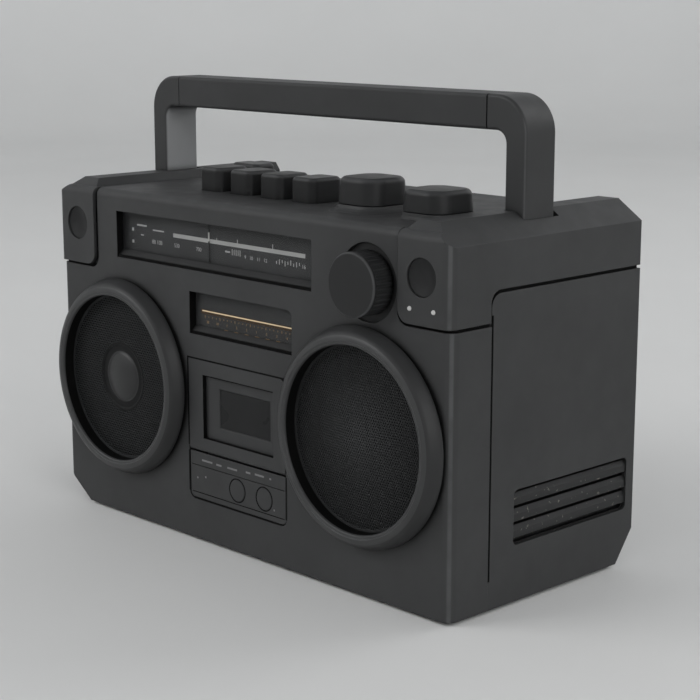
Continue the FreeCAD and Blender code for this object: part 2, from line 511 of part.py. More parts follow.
# ---- cassette bay -------------------------------------------------------------------------------
def make_cassette_bay():
    x0, x1, z1 = DOOR[0] + DOOR_GAP, DOOR[1] - DOOR_GAP, DOOR[3] - DOOR_GAP
    door = box(x0, x1, FRONT, FRONT + 5, HINGE_Z, z1)
    door = round_off(door, 5, lambda e: along(1)(e) and e.CenterOfMass.z > 100 and e.CenterOfMass.x > 0)
    door = door.fuse(cyl_x(HINGE_Y, HINGE_Z, 3.0, x0, x1))
    door = door.cut(box(-38, 41, FRONT - 1, FRONT + 3.2, 79.5, 128.5)).cut(
        box(-22, 34, FRONT, FRONT + 6, 90, 119))
    frame_edges = [e for e in door.Edges if abs(e.CenterOfMass.y - FRONT - 3.2) < 1e-6
                   and -23 < e.CenterOfMass.x < 35 and 89 < e.CenterOfMass.z < 120]
    door = door.makeChamfer(0.7, frame_edges)
    door = door.cut(box(-23.5, 35.5, FRONT + 4, FRONT + 6, 88.5, 120.5))
    for sx in (x0 - 2.6, x1 - 1):
        door = door.fuse(cyl_x(HINGE_Y, HINGE_Z, HINGE_R, sx, sx + 3.6))
    keep("cassette_door", door.removeSplitter())
    keep("cassette_window", box(-23.4, 35.4, FRONT + 4.05, FRONT + 5, 88.6, 120.4))
    y0, y1 = FRONT + 5, FRONT + 18
    holder = box(-53.5, 53.5, y0, y0 + 1.2, 75, 136).cut(box(-45, 45, y0 - 1, y0 + 2, 84, 128))
    holder = holder.fuse([box(-53.5, 53.5, y0, y1, 75, 76.5), box(-53.5, -52, y0, y1, 75, 130),
                          box(52, 53.5, y0, y1, 75, 130)])
    for sx in (-52, 48):
        holder = holder.fuse(box(sx, sx + 4, y1 - 1.2, y1, 75, 90))
    holder = holder.cut(box(-26, 26, y0 + 1.2, y1 + 1, 74, 78))
    keep("cassette_holder", holder.removeSplitter())

    y = CHASSIS_Y
    plate = box(-62, 62, y, y + 1.6, 60, 152)
    for px in (-58, 58):
        for pz in (64, 148):
            plate = plate.fuse(cyl_y(px, pz, 2.5, FRONT + WALL, y))
    bores = [cyl_y(sx, SPINDLE_Z, 3.05, y - 1, y + 3) for sx in (-SPINDLE_X, SPINDLE_X)]
    bores.append(cyl_y(CAPSTAN[0], CAPSTAN[1], 1.3, y - 1, y + 3))
    bores.append(cyl_y(CAPSTAN[0] - 9.6, CAPSTAN[1], 1.55, y - 1, y + 3))
    plate = plate.cut(Part.makeCompound(bores))
    motor_x, motor_z = MOTOR
    for dx in (-20, 20):
        plate = plate.fuse(cyl_y(motor_x + dx, motor_z - 20, 2.0, y + 1.6, y + 14))
    bracket = box(motor_x - 23, motor_x + 23, y + 14, y + 15.6, motor_z - 23, motor_z + 18)
    plate = plate.fuse(bracket).cut(cyl_y(motor_x, motor_z, 3, y + 13, y + 17))
    keep("cassette_chassis", plate.removeSplitter())
    for name, s in (("supply_spindle", -1), ("takeup_spindle", 1)):
        sx = s * SPINDLE_X
        spindle = cyl_y(sx, SPINDLE_Z, 3.0, y - 9, y + 4).fuse(cyl_y(sx, SPINDLE_Z, 11, y - 1.6, y - 0.4))
        spindle = spindle.fuse(cone_y(sx, SPINDLE_Z, 1.2, 3.0, y - 11, y - 9))
        spindle = spindle.fuse(cyl_y(sx, SPINDLE_Z, 7, y + 2, y + 4))
        for k in range(3):
            fin = box(sx - 0.5, sx + 0.5, y - 8, y - 1.6, SPINDLE_Z, SPINDLE_Z + 4.3)
            fin.rotate(V(sx, 0, SPINDLE_Z), V(0, 1, 0), 120 * k)
            spindle = spindle.fuse(fin)
        keep(name, spindle.removeSplitter())
    cx, cz = CAPSTAN
    keep("capstan_flywheel", cyl_y(cx, cz, 1.25, y - 10, y + 6).fuse(lathe_y(cx, cz, [
        (0, y + 4), (FLYWHEEL_R, y + 4), (FLYWHEEL_R, y + 6), (FLYWHEEL_R - 1, y + 7), (FLYWHEEL_R, y + 8),
        (FLYWHEEL_R, y + 10), (0, y + 10)])))
    keep("pinch_roller", cyl_y(cx - 9.6, cz, 5.5, y - 9, y - 2).fuse(cyl_y(cx - 9.6, cz, 1.5, y - 10, y + 3)))
    keep("tape_head", rounded_box(-19, -7, y - 9, y, 78, 90, 2, 1))
    mx, mz = MOTOR
    keep("tape_motor", cyl_y(mx, mz, 15, y + 15.6, y + 38).cut(cyl_y(mx, mz, 1.06, y + 15, y + 30)))
    keep("motor_pulley", cyl_y(mx, mz, 1.0, y + 5, y + 29).fuse(lathe_y(mx, mz, [
        (0, y + 4.6), (PULLEY_R + 0.6, y + 4.6), (PULLEY_R, y + 6.4), (PULLEY_R, y + 7.6),
        (PULLEY_R + 0.6, y + 9.4),
        (0, y + 9.4)])).removeSplitter())
    keep("drive_belt", belt(mx, mz, PULLEY_R + 0.9, cx, cz, FLYWHEEL_R + 0.3, y + 6.4, y + 7.6, 1.2))


def belt(ax, az, ar, bx, bz, br, y0, y1, thick):
    """Flat loop round two pulleys on parallel axes, made as the outer loop less the inner one."""
    def loop(grow, ya, yb):
        ra, rb = ar + grow, br + grow
        span = math.hypot(bx - ax, bz - az)
        turn = math.acos((ra - rb) / span)
        heading = math.atan2(bz - az, bx - ax)
        points = []
        for r, x, z, a in ((ra, ax, az, heading + turn), (rb, bx, bz, heading + turn),
                           (rb, bx, bz, heading - turn), (ra, ax, az, heading - turn)):
            points.append((x + r * math.cos(a), z + r * math.sin(a)))
        return prism_y(points, ya, yb).fuse([cyl_y(ax, az, ra, ya, yb), cyl_y(bx, bz, rb, ya, yb)])
    return loop(thick, y0, y1).cut(loop(0, y0 - 1, y1 + 1)).removeSplitter()


def make_panel():
    g = DOOR_GAP
    x0, x1, z0, z1 = PANEL[0] + g, PANEL[1] - g, PANEL[2] + g, PANEL[3] - 0.2
    panel = box(x0, x1, FRONT + 0.4, FRONT + 2.4, z0, z1)
    panel = round_off(panel, 5.0 - DOOR_GAP, lambda e: along(1)(e) and e.CenterOfMass.z < 50)
    panel = panel.fuse(box(x0 + 4, x1 - 4, FRONT + 2.4, FRONT + 8, z0 + 4, z1 - 10))
    for z in PANEL_LINES:
        panel = panel.cut(box(x0 + 1.5, x1 - 1.5, FRONT, FRONT + 1.1, z, z + PANEL_LINE_W))
    for x in (0, 30):
        panel = panel.cut(cyl_y(x, 46.6, 9.0, FRONT - 1, FRONT + 10))
    keep("control_panel", panel.removeSplitter())
    for name, x in (("record_button", 0), ("mute_button", 30)):
        button = cyl_y(x, 46.6, 8.35, FRONT + 0.1, FRONT + 7)
        rim = [e for e in button.Edges if abs(e.CenterOfMass.y - FRONT - 0.1) < 1e-6]
        keep(name, button.makeFillet(0.7, rim))


# ---- power, battery, board and mast -------------------------------------------------------------
def make_inside():
    x0, x1, z0, z1 = BATTERY
    tray = box(x0 - 4, x1 + 4, 54, BACK - WALL, z0 - 3, z1 + 3).cut(box(x0 - 1, x1 + 1, 56.5, BACK, z0, z1))
    for k in range(2):
        x = x0 + (k + 1) * (x1 - x0) / 3
        tray = tray.fuse(box(x - 0.8, x + 0.8, 56, 64, z0, z1))
    tray = tray.fuse(box(x0 - 1, x1 + 1, 56, 62, (z0 + z1) / 2 - 0.8, (z0 + z1) / 2 + 0.8))
    keep("battery_tray", tray.removeSplitter())
    contacts = []
    for row in (0, 1):
        z = z0 + 18.5 + 37 * row
        plate = box(x0 - 1, x0 - 0.4, 66, 86, z - 9, z + 9)
        spring = Part.makeCone(8, 4, 6, V(x0 - 0.4, 76, z), V(1, 0, 0)).cut(
            Part.makeCone(7, 3, 6, V(x0 - 0.4, 76, z), V(1, 0, 0)))
        contacts += [plate.fuse(spring), box(x1 + 0.4, x1 + 1, 66, 86, z - 9, z + 9)]
    keep("battery_contacts", Part.makeCompound(contacts))
    pin_z = z0 + LID_PIN_UP
    door = box(x0 + FINE, x1 - FINE, BACK - 2.6, BACK - 0.2, pin_z, z1 - FINE)
    door = door.fuse(cyl_x(BACK - 3.2, pin_z, 3.0, x0 + FINE, x1 - FINE))
    for k in range(5):
        door = door.cut(box(-20, 20, BACK - 0.9, BACK, z1 - 9 - 2.4 * k, z1 - 7.8 - 2.4 * k))
    for sx in (x0 + FINE - 2.4, x1 - FINE - 1):
        door = door.fuse(cyl_x(BACK - 3.2, pin_z, 1.2, sx, sx + 3.4))
        bore = cyl_x(BACK - 3.2, pin_z, 1.26, sx - 0.6, sx + 4.2)
        PIECES["rear_cabinet"] = PIECES["rear_cabinet"].cut(bore)
        PIECES["battery_tray"] = PIECES["battery_tray"].cut(bore)
    PIECES["battery_tray"] = PIECES["battery_tray"].cut(
        cyl_x(BACK - 3.2, pin_z, 3.4, x0, x1).fuse(box(x0, x1, BACK - 7, BACK, z0 - 1, pin_z + 1)))
    keep("battery_door", door.removeSplitter())

    x0, x1, z0, z1 = INLET
    inlet = box(x0 - 3, x1 + 3, BACK - 24, BACK - WALL, z0 - 3, z1 + 3).fuse(
        box(x0 + 0.2, x1 - 0.2, BACK - 20, BACK - 0.4, z0 + 0.2, z1 - 0.2))
    inlet = inlet.cut(rounded_box(x0 + 5, x1 - 5, BACK - 17, BACK + 1, z0 + 5, z1 - 5, 4, 1))
    for dx in (-5, 5):
        inlet = inlet.fuse(cyl_y((x0 + x1) / 2 + dx, (z0 + z1) / 2, 1.3, BACK - 18, BACK - 5))
    keep("ac_inlet", inlet.removeSplitter())

    core = box(-180, -130, 22, 62, WALL, 43).cut(box(-181, -129, 30, 54, 12, 34))
    coil = rounded_box(-172, -138, 18, 66, 12.1, 33.9, 4, 1)
    keep("power_transformer", Part.makeCompound([core.cut(coil), coil]))

    board = box(-150, 150, 26, 27.6, 112, 226)
    parts = [board]
    for i in range(6):
        parts.append(cyl_y(-120 + 44 * i, 210, 6 + i % 3, 27.6, 44 + 2 * (i % 3)))
        parts.append(box(-132 + 44 * i, -108 + 44 * i, 27.6, 31.6, 150, 160 + 3 * (i % 2)))
        parts.append(cyl_y(-118 + 44 * i, 182, 4, 27.6, 38))
    sink = box(60, 130, 27.6, 30.6, 122, 144)
    for k in range(7):
        sink = sink.fuse(box(62 + 10 * k, 63.6 + 10 * k, 30.6, 46, 122, 144))
    keep("circuit_board", board.fuse(parts[1:] + [sink]).removeSplitter())
    posts = [cyl_y(x, z, 3.2, 27.6, BACK - WALL) for x in (-144, 144) for z in (118, 220)]
    PIECES["rear_cabinet"] = PIECES["rear_cabinet"].fuse(posts)

    x = MAST_PIVOT_X
    bore = cyl_x(MAST_Y, MAST_Z, MAST_R - 0.5, x - MAST_LEN - 1, x - 8)
    tube = cyl_x(MAST_Y, MAST_Z, MAST_R, x - MAST_LEN, x - 3).cut(bore)
    knuckle = cyl_y(x, MAST_Z, 5, MAST_Y - 4, MAST_Y + 4).cut(cyl_y(x, MAST_Z, 2.05, MAST_Y - 5, MAST_Y + 5))
    tube = tube.cut(cyl_y(x, MAST_Z, 4.5, MAST_Y - 5, MAST_Y + 5))
    keep("antenna_mast", tube.fuse(knuckle).removeSplitter())
    tip = cyl_x(MAST_Y, MAST_Z, MAST_R - 0.55, x - MAST_LEN - 2, x - 12).fuse(
        cyl_x(MAST_Y, MAST_Z, MAST_R, x - MAST_LEN - 9, x - MAST_LEN - 1))
    keep("antenna_tip", tip.removeSplitter())
    pivot = cyl_y(x, MAST_Z, 2.0, MAST_Y - 6, MAST_Y + 4.3)
    pivot = pivot.fuse(cyl_y(x, MAST_Z, 3.2, MAST_Y + 4.3, MAST_Y + 5.5))
    PIECES["rear_cabinet"] = PIECES["rear_cabinet"].fuse(pivot).removeSplitter()


make_case()
make_trim()
make_handle()
make_deck_controls()
make_speakers()
make_dial()
make_cassette_bay()
make_panel()
make_inside()

os.makedirs("parts", exist_ok=True)
for node, solid in PIECES.items():
    solid.translate(SHIFT)
    solid.exportStep("parts/%s.step" % node)
    print("%-24s solids %d valid %s volume %.0f" % (node, len(solid.Solids), solid.isValid(), solid.Volume))
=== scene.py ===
import json
import math

import bmesh
import bpy
from mathutils import Matrix, Vector

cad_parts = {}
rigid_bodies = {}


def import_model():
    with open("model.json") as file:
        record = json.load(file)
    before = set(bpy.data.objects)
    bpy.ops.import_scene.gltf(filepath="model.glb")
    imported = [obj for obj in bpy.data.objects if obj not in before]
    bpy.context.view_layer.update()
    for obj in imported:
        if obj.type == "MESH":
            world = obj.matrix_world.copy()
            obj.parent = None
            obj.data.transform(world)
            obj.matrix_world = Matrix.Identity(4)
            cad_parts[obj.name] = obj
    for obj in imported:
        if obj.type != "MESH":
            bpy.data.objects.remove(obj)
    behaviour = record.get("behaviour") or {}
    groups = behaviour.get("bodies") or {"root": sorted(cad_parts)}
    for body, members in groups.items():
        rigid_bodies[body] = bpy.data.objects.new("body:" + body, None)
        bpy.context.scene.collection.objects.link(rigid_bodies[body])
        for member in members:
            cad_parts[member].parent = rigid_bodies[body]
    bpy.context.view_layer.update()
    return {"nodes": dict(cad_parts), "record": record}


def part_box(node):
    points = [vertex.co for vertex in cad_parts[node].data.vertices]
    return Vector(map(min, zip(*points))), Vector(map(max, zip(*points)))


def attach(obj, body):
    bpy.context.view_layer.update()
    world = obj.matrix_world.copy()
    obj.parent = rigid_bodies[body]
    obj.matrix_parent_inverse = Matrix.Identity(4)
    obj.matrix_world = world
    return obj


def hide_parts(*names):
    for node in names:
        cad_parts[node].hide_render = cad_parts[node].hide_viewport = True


# Portable stereo cassette radio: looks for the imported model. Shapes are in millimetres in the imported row's
# frame (+X to the listener's right, +Y back, +Z up), and make() turns them into metres. The camera, the
# lights, the floor and the lengths given to a material are in metres.

for old in list(bpy.data.objects):
    bpy.data.objects.remove(old)
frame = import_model()
MM = 0.001


def span(node):
    """Lowest and highest corner of a CAD node, in millimetres."""
    return [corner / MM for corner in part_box(node)]


def disc(node):
    """Middle x, middle z, radius, front y and back y of a round CAD node that faces the listener."""
    lo, hi = span(node)
    return (lo.x + hi.x) / 2, (lo.z + hi.z) / 2, (hi.x - lo.x) / 2, lo.y, hi.y


# ---- camera, lights and floor -------------------------------------------------------------------
AZIMUTH, ELEVATION = 45.98, 11.73       # degrees round from the front, and above the horizon
DISTANCE = 1.3129                       # metres from the aimed point
AIM = Vector((0.0188, 0.008, 0.1441))   # point in the middle of the picture, in metres
LENS, SENSOR = 89.0, 36.0               # focal length and sensor width
CLIP = (0.02, 60.0)                     # nearest and farthest metres seen

SOFTBOXES = {                           # place in metres, width and height, watts
    "key": ((-1.7, -2.3, 1.9), (2.0, 1.6), 30),
    "side": ((2.7, -0.9, 1.2), (1.4, 1.6), 22),
    "back": ((0.9, 2.6, 1.7), (1.8, 1.2), 16),
}
SKY_TINT = (0.95, 0.97, 1.0)
SKY_FADE = (0.3, 0.9)                   # sines of the heights between which the sky darkens
SKY_STRENGTH = (1.7, 0.1)               # near the horizon and overhead
FLOOR_R, BEND_R, WALL_TOP = 3.6, 1.6, 3.4      # backdrop bowl: flat floor, rounding and rim, in metres
FLOOR_RINGS = (0.0, 1.2, 2.4)                  # radii that divide its flat floor


def make_camera():
    """Camera at the angles and distance above, turned to AIM with its horizon level."""
    az, el = math.radians(AZIMUTH), math.radians(ELEVATION)
    back = Vector((math.sin(az) * math.cos(el), -math.cos(az) * math.cos(el), math.sin(el)))
    data = bpy.data.cameras.new("camera")
    data.lens, data.sensor_width = LENS, SENSOR
    data.clip_start, data.clip_end = CLIP
    camera = bpy.data.objects.new("camera", data)
    bpy.context.collection.objects.link(camera)
    camera.location = AIM + back * DISTANCE
    camera.rotation_mode = "QUATERNION"
    camera.rotation_quaternion = (-back).to_track_quat("-Z", "Y")
    bpy.context.scene.camera = camera


def make_softbox(name, place, size, power):
    """Rectangular soft light that faces the object."""
    data = bpy.data.lights.new(name, "AREA")
    data.shape = "RECTANGLE"
    data.size, data.size_y = size
    data.energy = power
    lamp = bpy.data.objects.new(name, data)
    bpy.context.collection.objects.link(lamp)
    lamp.location = place
    lamp.rotation_mode = "QUATERNION"
    lamp.rotation_quaternion = (AIM - Vector(place)).to_track_quat("-Z", "Y")


def make_sky():
    """World light that is strongest at the horizon and fades overhead."""
    world = bpy.data.worlds.new("studio")
    bpy.context.scene.world = world
    world.use_nodes = True
    tree = world.node_tree
    ground = tree.nodes["Background"]
    ground.inputs["Color"].default_value = (*SKY_TINT, 1)
    direction = tree.nodes.new("ShaderNodeTexCoord")
    split = tree.nodes.new("ShaderNodeSeparateXYZ")
    sky = tree.nodes.new("ShaderNodeMapRange")
    for name, number in zip(("From Min", "From Max", "To Min", "To Max"), SKY_FADE + SKY_STRENGTH):
        sky.inputs[name].default_value = number
    tree.links.new(direction.outputs["Generated"], split.inputs[0])
    tree.links.new(split.outputs["Z"], sky.inputs["Value"])
    tree.links.new(sky.outputs["Result"], ground.inputs["Strength"])


def make_floor():
    """Plain floor that bends up into a wall all round."""
    outline = [(radius, 0.0) for radius in FLOOR_RINGS]
    outline += arc(FLOOR_R, BEND_R, BEND_R, -90, 0, 15)
    outline.append((FLOOR_R + BEND_R, WALL_TOP))
    bm = bmesh.new()
    add_lathe(bm, 0, 0, outline, steps=96)
    bm.transform(Matrix.Rotation(math.radians(90), 4, "X"))
    bmesh.ops.recalc_face_normals(bm, faces=bm.faces)
    bmesh.ops.reverse_faces(bm, faces=bm.faces)
    data = bpy.data.meshes.new("floor")
    bm.to_mesh(data)
    bm.free()
    data.shade_smooth()
    data.materials.append(pale_floor())
    floor = bpy.data.objects.new("floor", data)
    bpy.context.collection.objects.link(floor)


def make_studio():
    """Sky, three softboxes and the floor."""
    make_sky()
    for name, (place, size, power) in SOFTBOXES.items():
        make_softbox(name, place, size, power)
    bpy.context.scene.view_settings.view_transform = "Standard"
    make_floor()


# ---- materials ----------------------------------------------------------------------------------
class Shader:
    """A node tree with short calls, whose last node is a Principled surface."""

    def __init__(self, name):
        self.material = bpy.data.materials.new(name)
        self.material.use_nodes = True
        self.tree = self.material.node_tree
        self.surface = self.tree.nodes["Principled BSDF"]

    def node(self, kind, **sockets):
        """New shader node with constants on some of its sockets."""
        made = self.tree.nodes.new("ShaderNode" + kind)
        for name, value in sockets.items():
            made.inputs[name].default_value = value
        return made

    def link(self, out, into):
        self.tree.links.new(out, into)

    def place(self):
        """Position in the object's own space, in metres."""
        return self.node("TexCoord").outputs["Object"]

    def noise(self, scale, detail=2.0, rough=0.5, where=None):
        """Cloudy value about 0.5; scale is in bumps per metre."""
        made = self.node("TexNoise", Scale=scale, Detail=detail, Roughness=rough)
        self.link(where or self.place(), made.inputs["Vector"])
        return made.outputs["Fac"]

    def remap(self, value, low, high, to_low=0.0, to_high=1.0):
        """Straight ramp between two values, held level beyond them."""
        made = self.node("MapRange")
        numbers = {"From Min": low, "From Max": high, "To Min": to_low, "To Max": to_high}
        for name, number in numbers.items():
            made.inputs[name].default_value = number
        self.link(value, made.inputs["Value"])
        return made.outputs["Result"]

    def math(self, kind, a, b):
        """Arithmetic on numbers or value sockets."""
        made = self.node("Math")
        made.operation = kind
        for socket, value in zip(made.inputs, (a, b)):
            if isinstance(value, (int, float)):
                socket.default_value = value
            else:
                self.link(value, socket)
        return made.outputs["Value"]

    def blend(self, share, first, second):
        """Colour between two colours or colour sockets."""
        made = self.node("Mix")
        made.data_type = "RGBA"
        self.link(share, made.inputs["Factor"])
        for socket, value in ((made.inputs[6], first), (made.inputs[7], second)):
            if isinstance(value, tuple):
                socket.default_value = (*value, 1)
            else:
                self.link(value, socket)
        return made.outputs[2]

    def edges(self, radius):
        """1 along edges and 0 on flat ground, from how far a bevel would turn the surface."""
        bevel = self.node("Bevel", Radius=radius)
        bevel.samples = 4
        plain = self.node("NewGeometry").outputs["Normal"]
        dot = self.node("VectorMath")
        dot.operation = "DOT_PRODUCT"
        self.link(bevel.outputs["Normal"], dot.inputs[0])
        self.link(plain, dot.inputs[1])
        return self.remap(dot.outputs["Value"], 1.0, 0.86), bevel.outputs["Normal"]

    def axis(self, output, which):
        """One component of the object-space position or normal."""
        split = self.node("SeparateXYZ")
        self.link(self.node("TexCoord").outputs[output], split.inputs[0])
        return split.outputs[which]

    def corner_highlight_line(self):
        """1 along the middle of a rounded upright corner, where a highlight is painted."""
        turn = self.math("MULTIPLY", self.axis("Normal", "X"), self.axis("Normal", "Y"))
        return self.remap(self.math("ABSOLUTE", turn, 0.0), 0.43, 0.49)

    def crown_line(self):
        """1 on the rounding between the top and the sides of a key or knob, where a highlight is painted."""
        lean = self.axis("Normal", "Z")
        return self.math("MULTIPLY", self.remap(lean, 0.3, 0.6), self.remap(lean, 0.97, 0.86))

    def rim_line(self):
        """1 on the chamfer between the front face and the side of a knob on the front, where a highlight is
        painted.
        """
        lean = self.axis("Normal", "Y")
        return self.math("MULTIPLY", self.remap(lean, -0.3, -0.5), self.remap(lean, -0.96, -0.88))

    def from_axis(self, x, z):
        """Distance from a line along Y, in metres."""
        split = self.node("SeparateXYZ")
        self.link(self.place(), split.inputs[0])
        across = self.math("SUBTRACT", split.outputs["X"], x * MM)
        up = self.math("SUBTRACT", split.outputs["Z"], z * MM)
        square = self.math("ADD", self.math("MULTIPLY", across, across), self.math("MULTIPLY", up, up))
        return self.math("POWER", square, 0.5)

    def inward(self):
        """1 on faces that look towards the middle of the object from either side, where a highlight is
        painted.
        """
        lean = self.math("MULTIPLY", self.axis("Normal", "X"), self.axis("Object", "X"))
        return self.remap(lean, -0.09, -0.16)

    def crevice_shade(self, shade_reach):
        """0 deep in a seam or corner and 1 on open ground; the colour is darkened there as painted shade."""
        shade = self.node("AmbientOcclusion", Distance=shade_reach)
        shade.samples = 6
        return self.remap(shade.outputs["AO"], 0.3, 0.82)

    def bump(self, height, strength, distance, normal=None):
        """Fine relief, on top of another normal if one is given."""
        made = self.node("Bump", Strength=strength, Distance=distance)
        self.link(height, made.inputs["Height"])
        if normal is not None:
            self.link(normal, made.inputs["Normal"])
        self.link(made.outputs["Normal"], self.surface.inputs["Normal"])


def scaled(colour, factor):
    """A colour made lighter or darker."""
    return tuple(c * factor for c in colour)


CLOUD = (0.35, 0.65)            # noise values between which a slow change of tone runs
CLOUD_TONES = (0.92, 1.08)      # and how far it goes, as shares of the colour
RUB_AND_SHEEN, CORNER_HIGHLIGHT, KNOB_HIGHLIGHT = 2.4, 2.6, 3.0       # shares for rubbed edges (part wear, part painted highlight) and for the painted highlights on corners and crowns
INNER_HIGHLIGHT, PAINTED_SHADE_TONE = 7.0, 0.1                       # shares for the painted highlight on faces that look inwards, and for the painted shade deep in a seam
DUST = (0.16, 0.15, 0.13)       # light specks


def clouded(s, colour, slow):
    """The colour, a little darker in some places and lighter in others."""
    dark, light = (scaled(colour, tone) for tone in CLOUD_TONES)
    return s.blend(s.remap(slow, *CLOUD), dark, light)


def moulded(name, colour, rough, grain=0.00045, relief=0.00003, wear_and_sheen=0.5, gloss=0.25, edge=0.0007,
            shade_reach=0.007, corner=0.0, inner=0.0, crown_highlight=0.0, rim_highlight=0.0, dust=0.0, swell=None):
    """Moulded or painted surface: fine grain, slow change of tone, lighter rubbed edges that are part wear and
    part painted highlight, painted highlights on corners, crowns and rims, and painted shade in seams.

    grain, relief, edge and shade_reach are lengths in metres: the grain's width and height, the rounded edge
    that catches light, and how far the painted shade reaches out of a seam or corner. wear_and_sheen, gloss,
    corner, inner, crown_highlight, rim_highlight and dust are strengths from 0 up; corner, inner,
    crown_highlight and rim_highlight paint highlights on rounded upright corners, on faces that look inwards,
    on the crowns of keys and knobs and on the rims of front knobs. swell paints a round highlight: its x, z
    and radius in mm, and how much.
    """
    s = Shader(name)
    where = s.place()
    fine = s.noise(1 / grain, 3.0, 0.6, where)
    slow = s.noise(11.0, 4.0, 0.55, where)
    smudge = s.noise(55.0, 3.0, 0.6, where)
    rim, rounded = s.edges(edge)
    tone = clouded(s, colour, slow)
    tone = s.blend(s.math("MULTIPLY", s.remap(fine, 0.6, 0.8), 0.35), tone, scaled(colour, 1.35))
    # lighter rubbed edges: part wear, part painted highlight where the rounded edges catch the light
    rub_and_sheen = s.math("MULTIPLY", s.math("MULTIPLY", rim, s.remap(smudge, 0.3, 0.65)), wear_and_sheen)
    tone = s.blend(rub_and_sheen, tone, scaled(colour, RUB_AND_SHEEN))
    # painted highlight along the middle of rounded upright corners
    if corner:
        line = s.math("MULTIPLY", s.corner_highlight_line(), s.remap(smudge, 0.25, 0.6, corner * 0.4, corner))
        tone = s.blend(line, tone, scaled(colour, CORNER_HIGHLIGHT))
    # painted highlights on the crowns of keys and knobs and on the rims of front knobs
    for amount, line in ((crown_highlight, s.crown_line), (rim_highlight, s.rim_line)):
        if amount:
            share = s.math("MULTIPLY", line(), s.remap(smudge, 0.3, 0.6, amount * 0.5, amount))
            tone = s.blend(share, tone, scaled(colour, KNOB_HIGHLIGHT))
    if dust:
        specks = s.math("MULTIPLY", s.remap(s.noise(260.0, 2.0, 0.5, where), 0.66, 0.7), dust)
        tone = s.blend(specks, tone, DUST)
    # painted highlight on faces that look inwards, such as the inner faces of the handle arms
    if inner:
        tone = s.blend(s.math("MULTIPLY", s.inward(), inner), tone, scaled(colour, INNER_HIGHLIGHT))
    # painted highlight: a round patch made lighter
    if swell:
        x, z, radius, factor = swell
        share = s.remap(s.from_axis(x, z), radius * MM, 0.0)
        tone = s.blend(share, tone, scaled(colour, factor))
    # painted shade: the colour darkens deep in seams and corners, where shade falls
    if shade_reach:
        tone = s.blend(s.crevice_shade(shade_reach), scaled(colour, PAINTED_SHADE_TONE), tone)
    s.link(tone, s.surface.inputs["Base Color"])
    s.link(s.remap(smudge, 0.3, 0.7, rough - 0.05, rough + 0.06), s.surface.inputs["Roughness"])
    s.surface.inputs["Specular IOR Level"].default_value = gloss
    s.bump(fine, 0.5, relief, rounded)
    return s.material


def plate(name, colour, rough):
    """Flat printed plate or ink, with a slow change of tone only."""
    s = Shader(name)
    slow = s.noise(30.0, 3.0)
    s.link(clouded(s, colour, slow), s.surface.inputs["Base Color"])
    s.link(s.remap(slow, 0.3, 0.7, rough - 0.05, rough + 0.05), s.surface.inputs["Roughness"])
    s.surface.inputs["Specular IOR Level"].default_value = 0.1
    return s.material


def clear(name, tint, alpha, rough):
    """Thin clear window with a faint haze."""
    s = Shader(name)
    s.surface.inputs["Base Color"].default_value = (*tint, 1)
    haze = s.noise(70.0, 3.0)
    s.link(s.remap(haze, 0.4, 0.7, rough, rough + 0.06), s.surface.inputs["Roughness"])
    s.surface.inputs["Alpha"].default_value = alpha
    return s.material


def glowing(name, colour, strength):
    """Lit print or lamp, a little uneven along its length."""
    s = Shader(name)
    s.surface.inputs["Base Color"].default_value = (*scaled(colour, 0.6), 1)
    s.surface.inputs["Roughness"].default_value = 0.4
    uneven = s.remap(s.noise(90.0, 2.0), 0.3, 0.7)
    s.link(s.blend(uneven, scaled(colour, 0.8), colour), s.surface.inputs["Emission Color"])
    s.surface.inputs["Emission Strength"].default_value = strength
    return s.material


LINE_STRETCH = (1.0, 40.0, 40.0)        # squeezes noise into lines along X


def brushed(name, colour, rough):
    """Drawn or turned metal with fine lines along X."""
    s = Shader(name)
    mapping = s.node("Mapping")
    mapping.inputs["Scale"].default_value = LINE_STRETCH
    s.link(s.place(), mapping.inputs["Vector"])
    lines = s.noise(60.0, 3.0, 0.6, mapping.outputs["Vector"])
    cloud = s.noise(40.0, 3.0)
    s.link(s.blend(s.remap(cloud, 0.3, 0.7), scaled(colour, 0.85), colour), s.surface.inputs["Base Color"])
    s.link(s.remap(lines, 0.3, 0.7, rough, rough + 0.15), s.surface.inputs["Roughness"])
    s.surface.inputs["Metallic"].default_value = 1.0
    s.bump(lines, 0.25, 0.00001)
    return s.material


def paper_cone(name, colour):
    """Pressed paper pulp with short fibres."""
    s = Shader(name)
    fibre = s.noise(900.0, 6.0, 0.75)
    cloud = s.noise(60.0, 3.0)
    tone = s.blend(s.remap(cloud, 0.35, 0.65), scaled(colour, 0.85), scaled(colour, 1.15))
    tone = s.blend(s.remap(fibre, 0.55, 0.75, 0.0, 0.6), tone, scaled(colour, 2.0))
    s.link(tone, s.surface.inputs["Base Color"])
    s.surface.inputs["Roughness"].default_value = 0.75
    s.bump(fibre, 0.6, 0.00008)
    return s.material


def circuit(name):
    """Green lacquered board with copper islands showing as lighter patches."""
    s = Shader(name)
    cells = s.node("TexVoronoi", Scale=160.0)
    s.link(s.place(), cells.inputs["Vector"])
    mask = s.remap(cells.outputs["Distance"], 0.18, 0.22)
    s.link(s.blend(mask, (0.05, 0.16, 0.06), (0.015, 0.06, 0.03)), s.surface.inputs["Base Color"])
    s.surface.inputs["Roughness"].default_value = 0.35
    s.bump(cells.outputs["Distance"], 0.2, 0.0001)
    return s.material


def pale_floor():
    """Matt studio floor with a very slight cloud."""
    s = Shader("pale_floor")
    cloud = s.noise(3.0, 4.0)
    s.link(s.blend(cloud, (0.74, 0.74, 0.73), (0.79, 0.79, 0.78)), s.surface.inputs["Base Color"])
    s.surface.inputs["Roughness"].default_value = 0.7
    return s.material


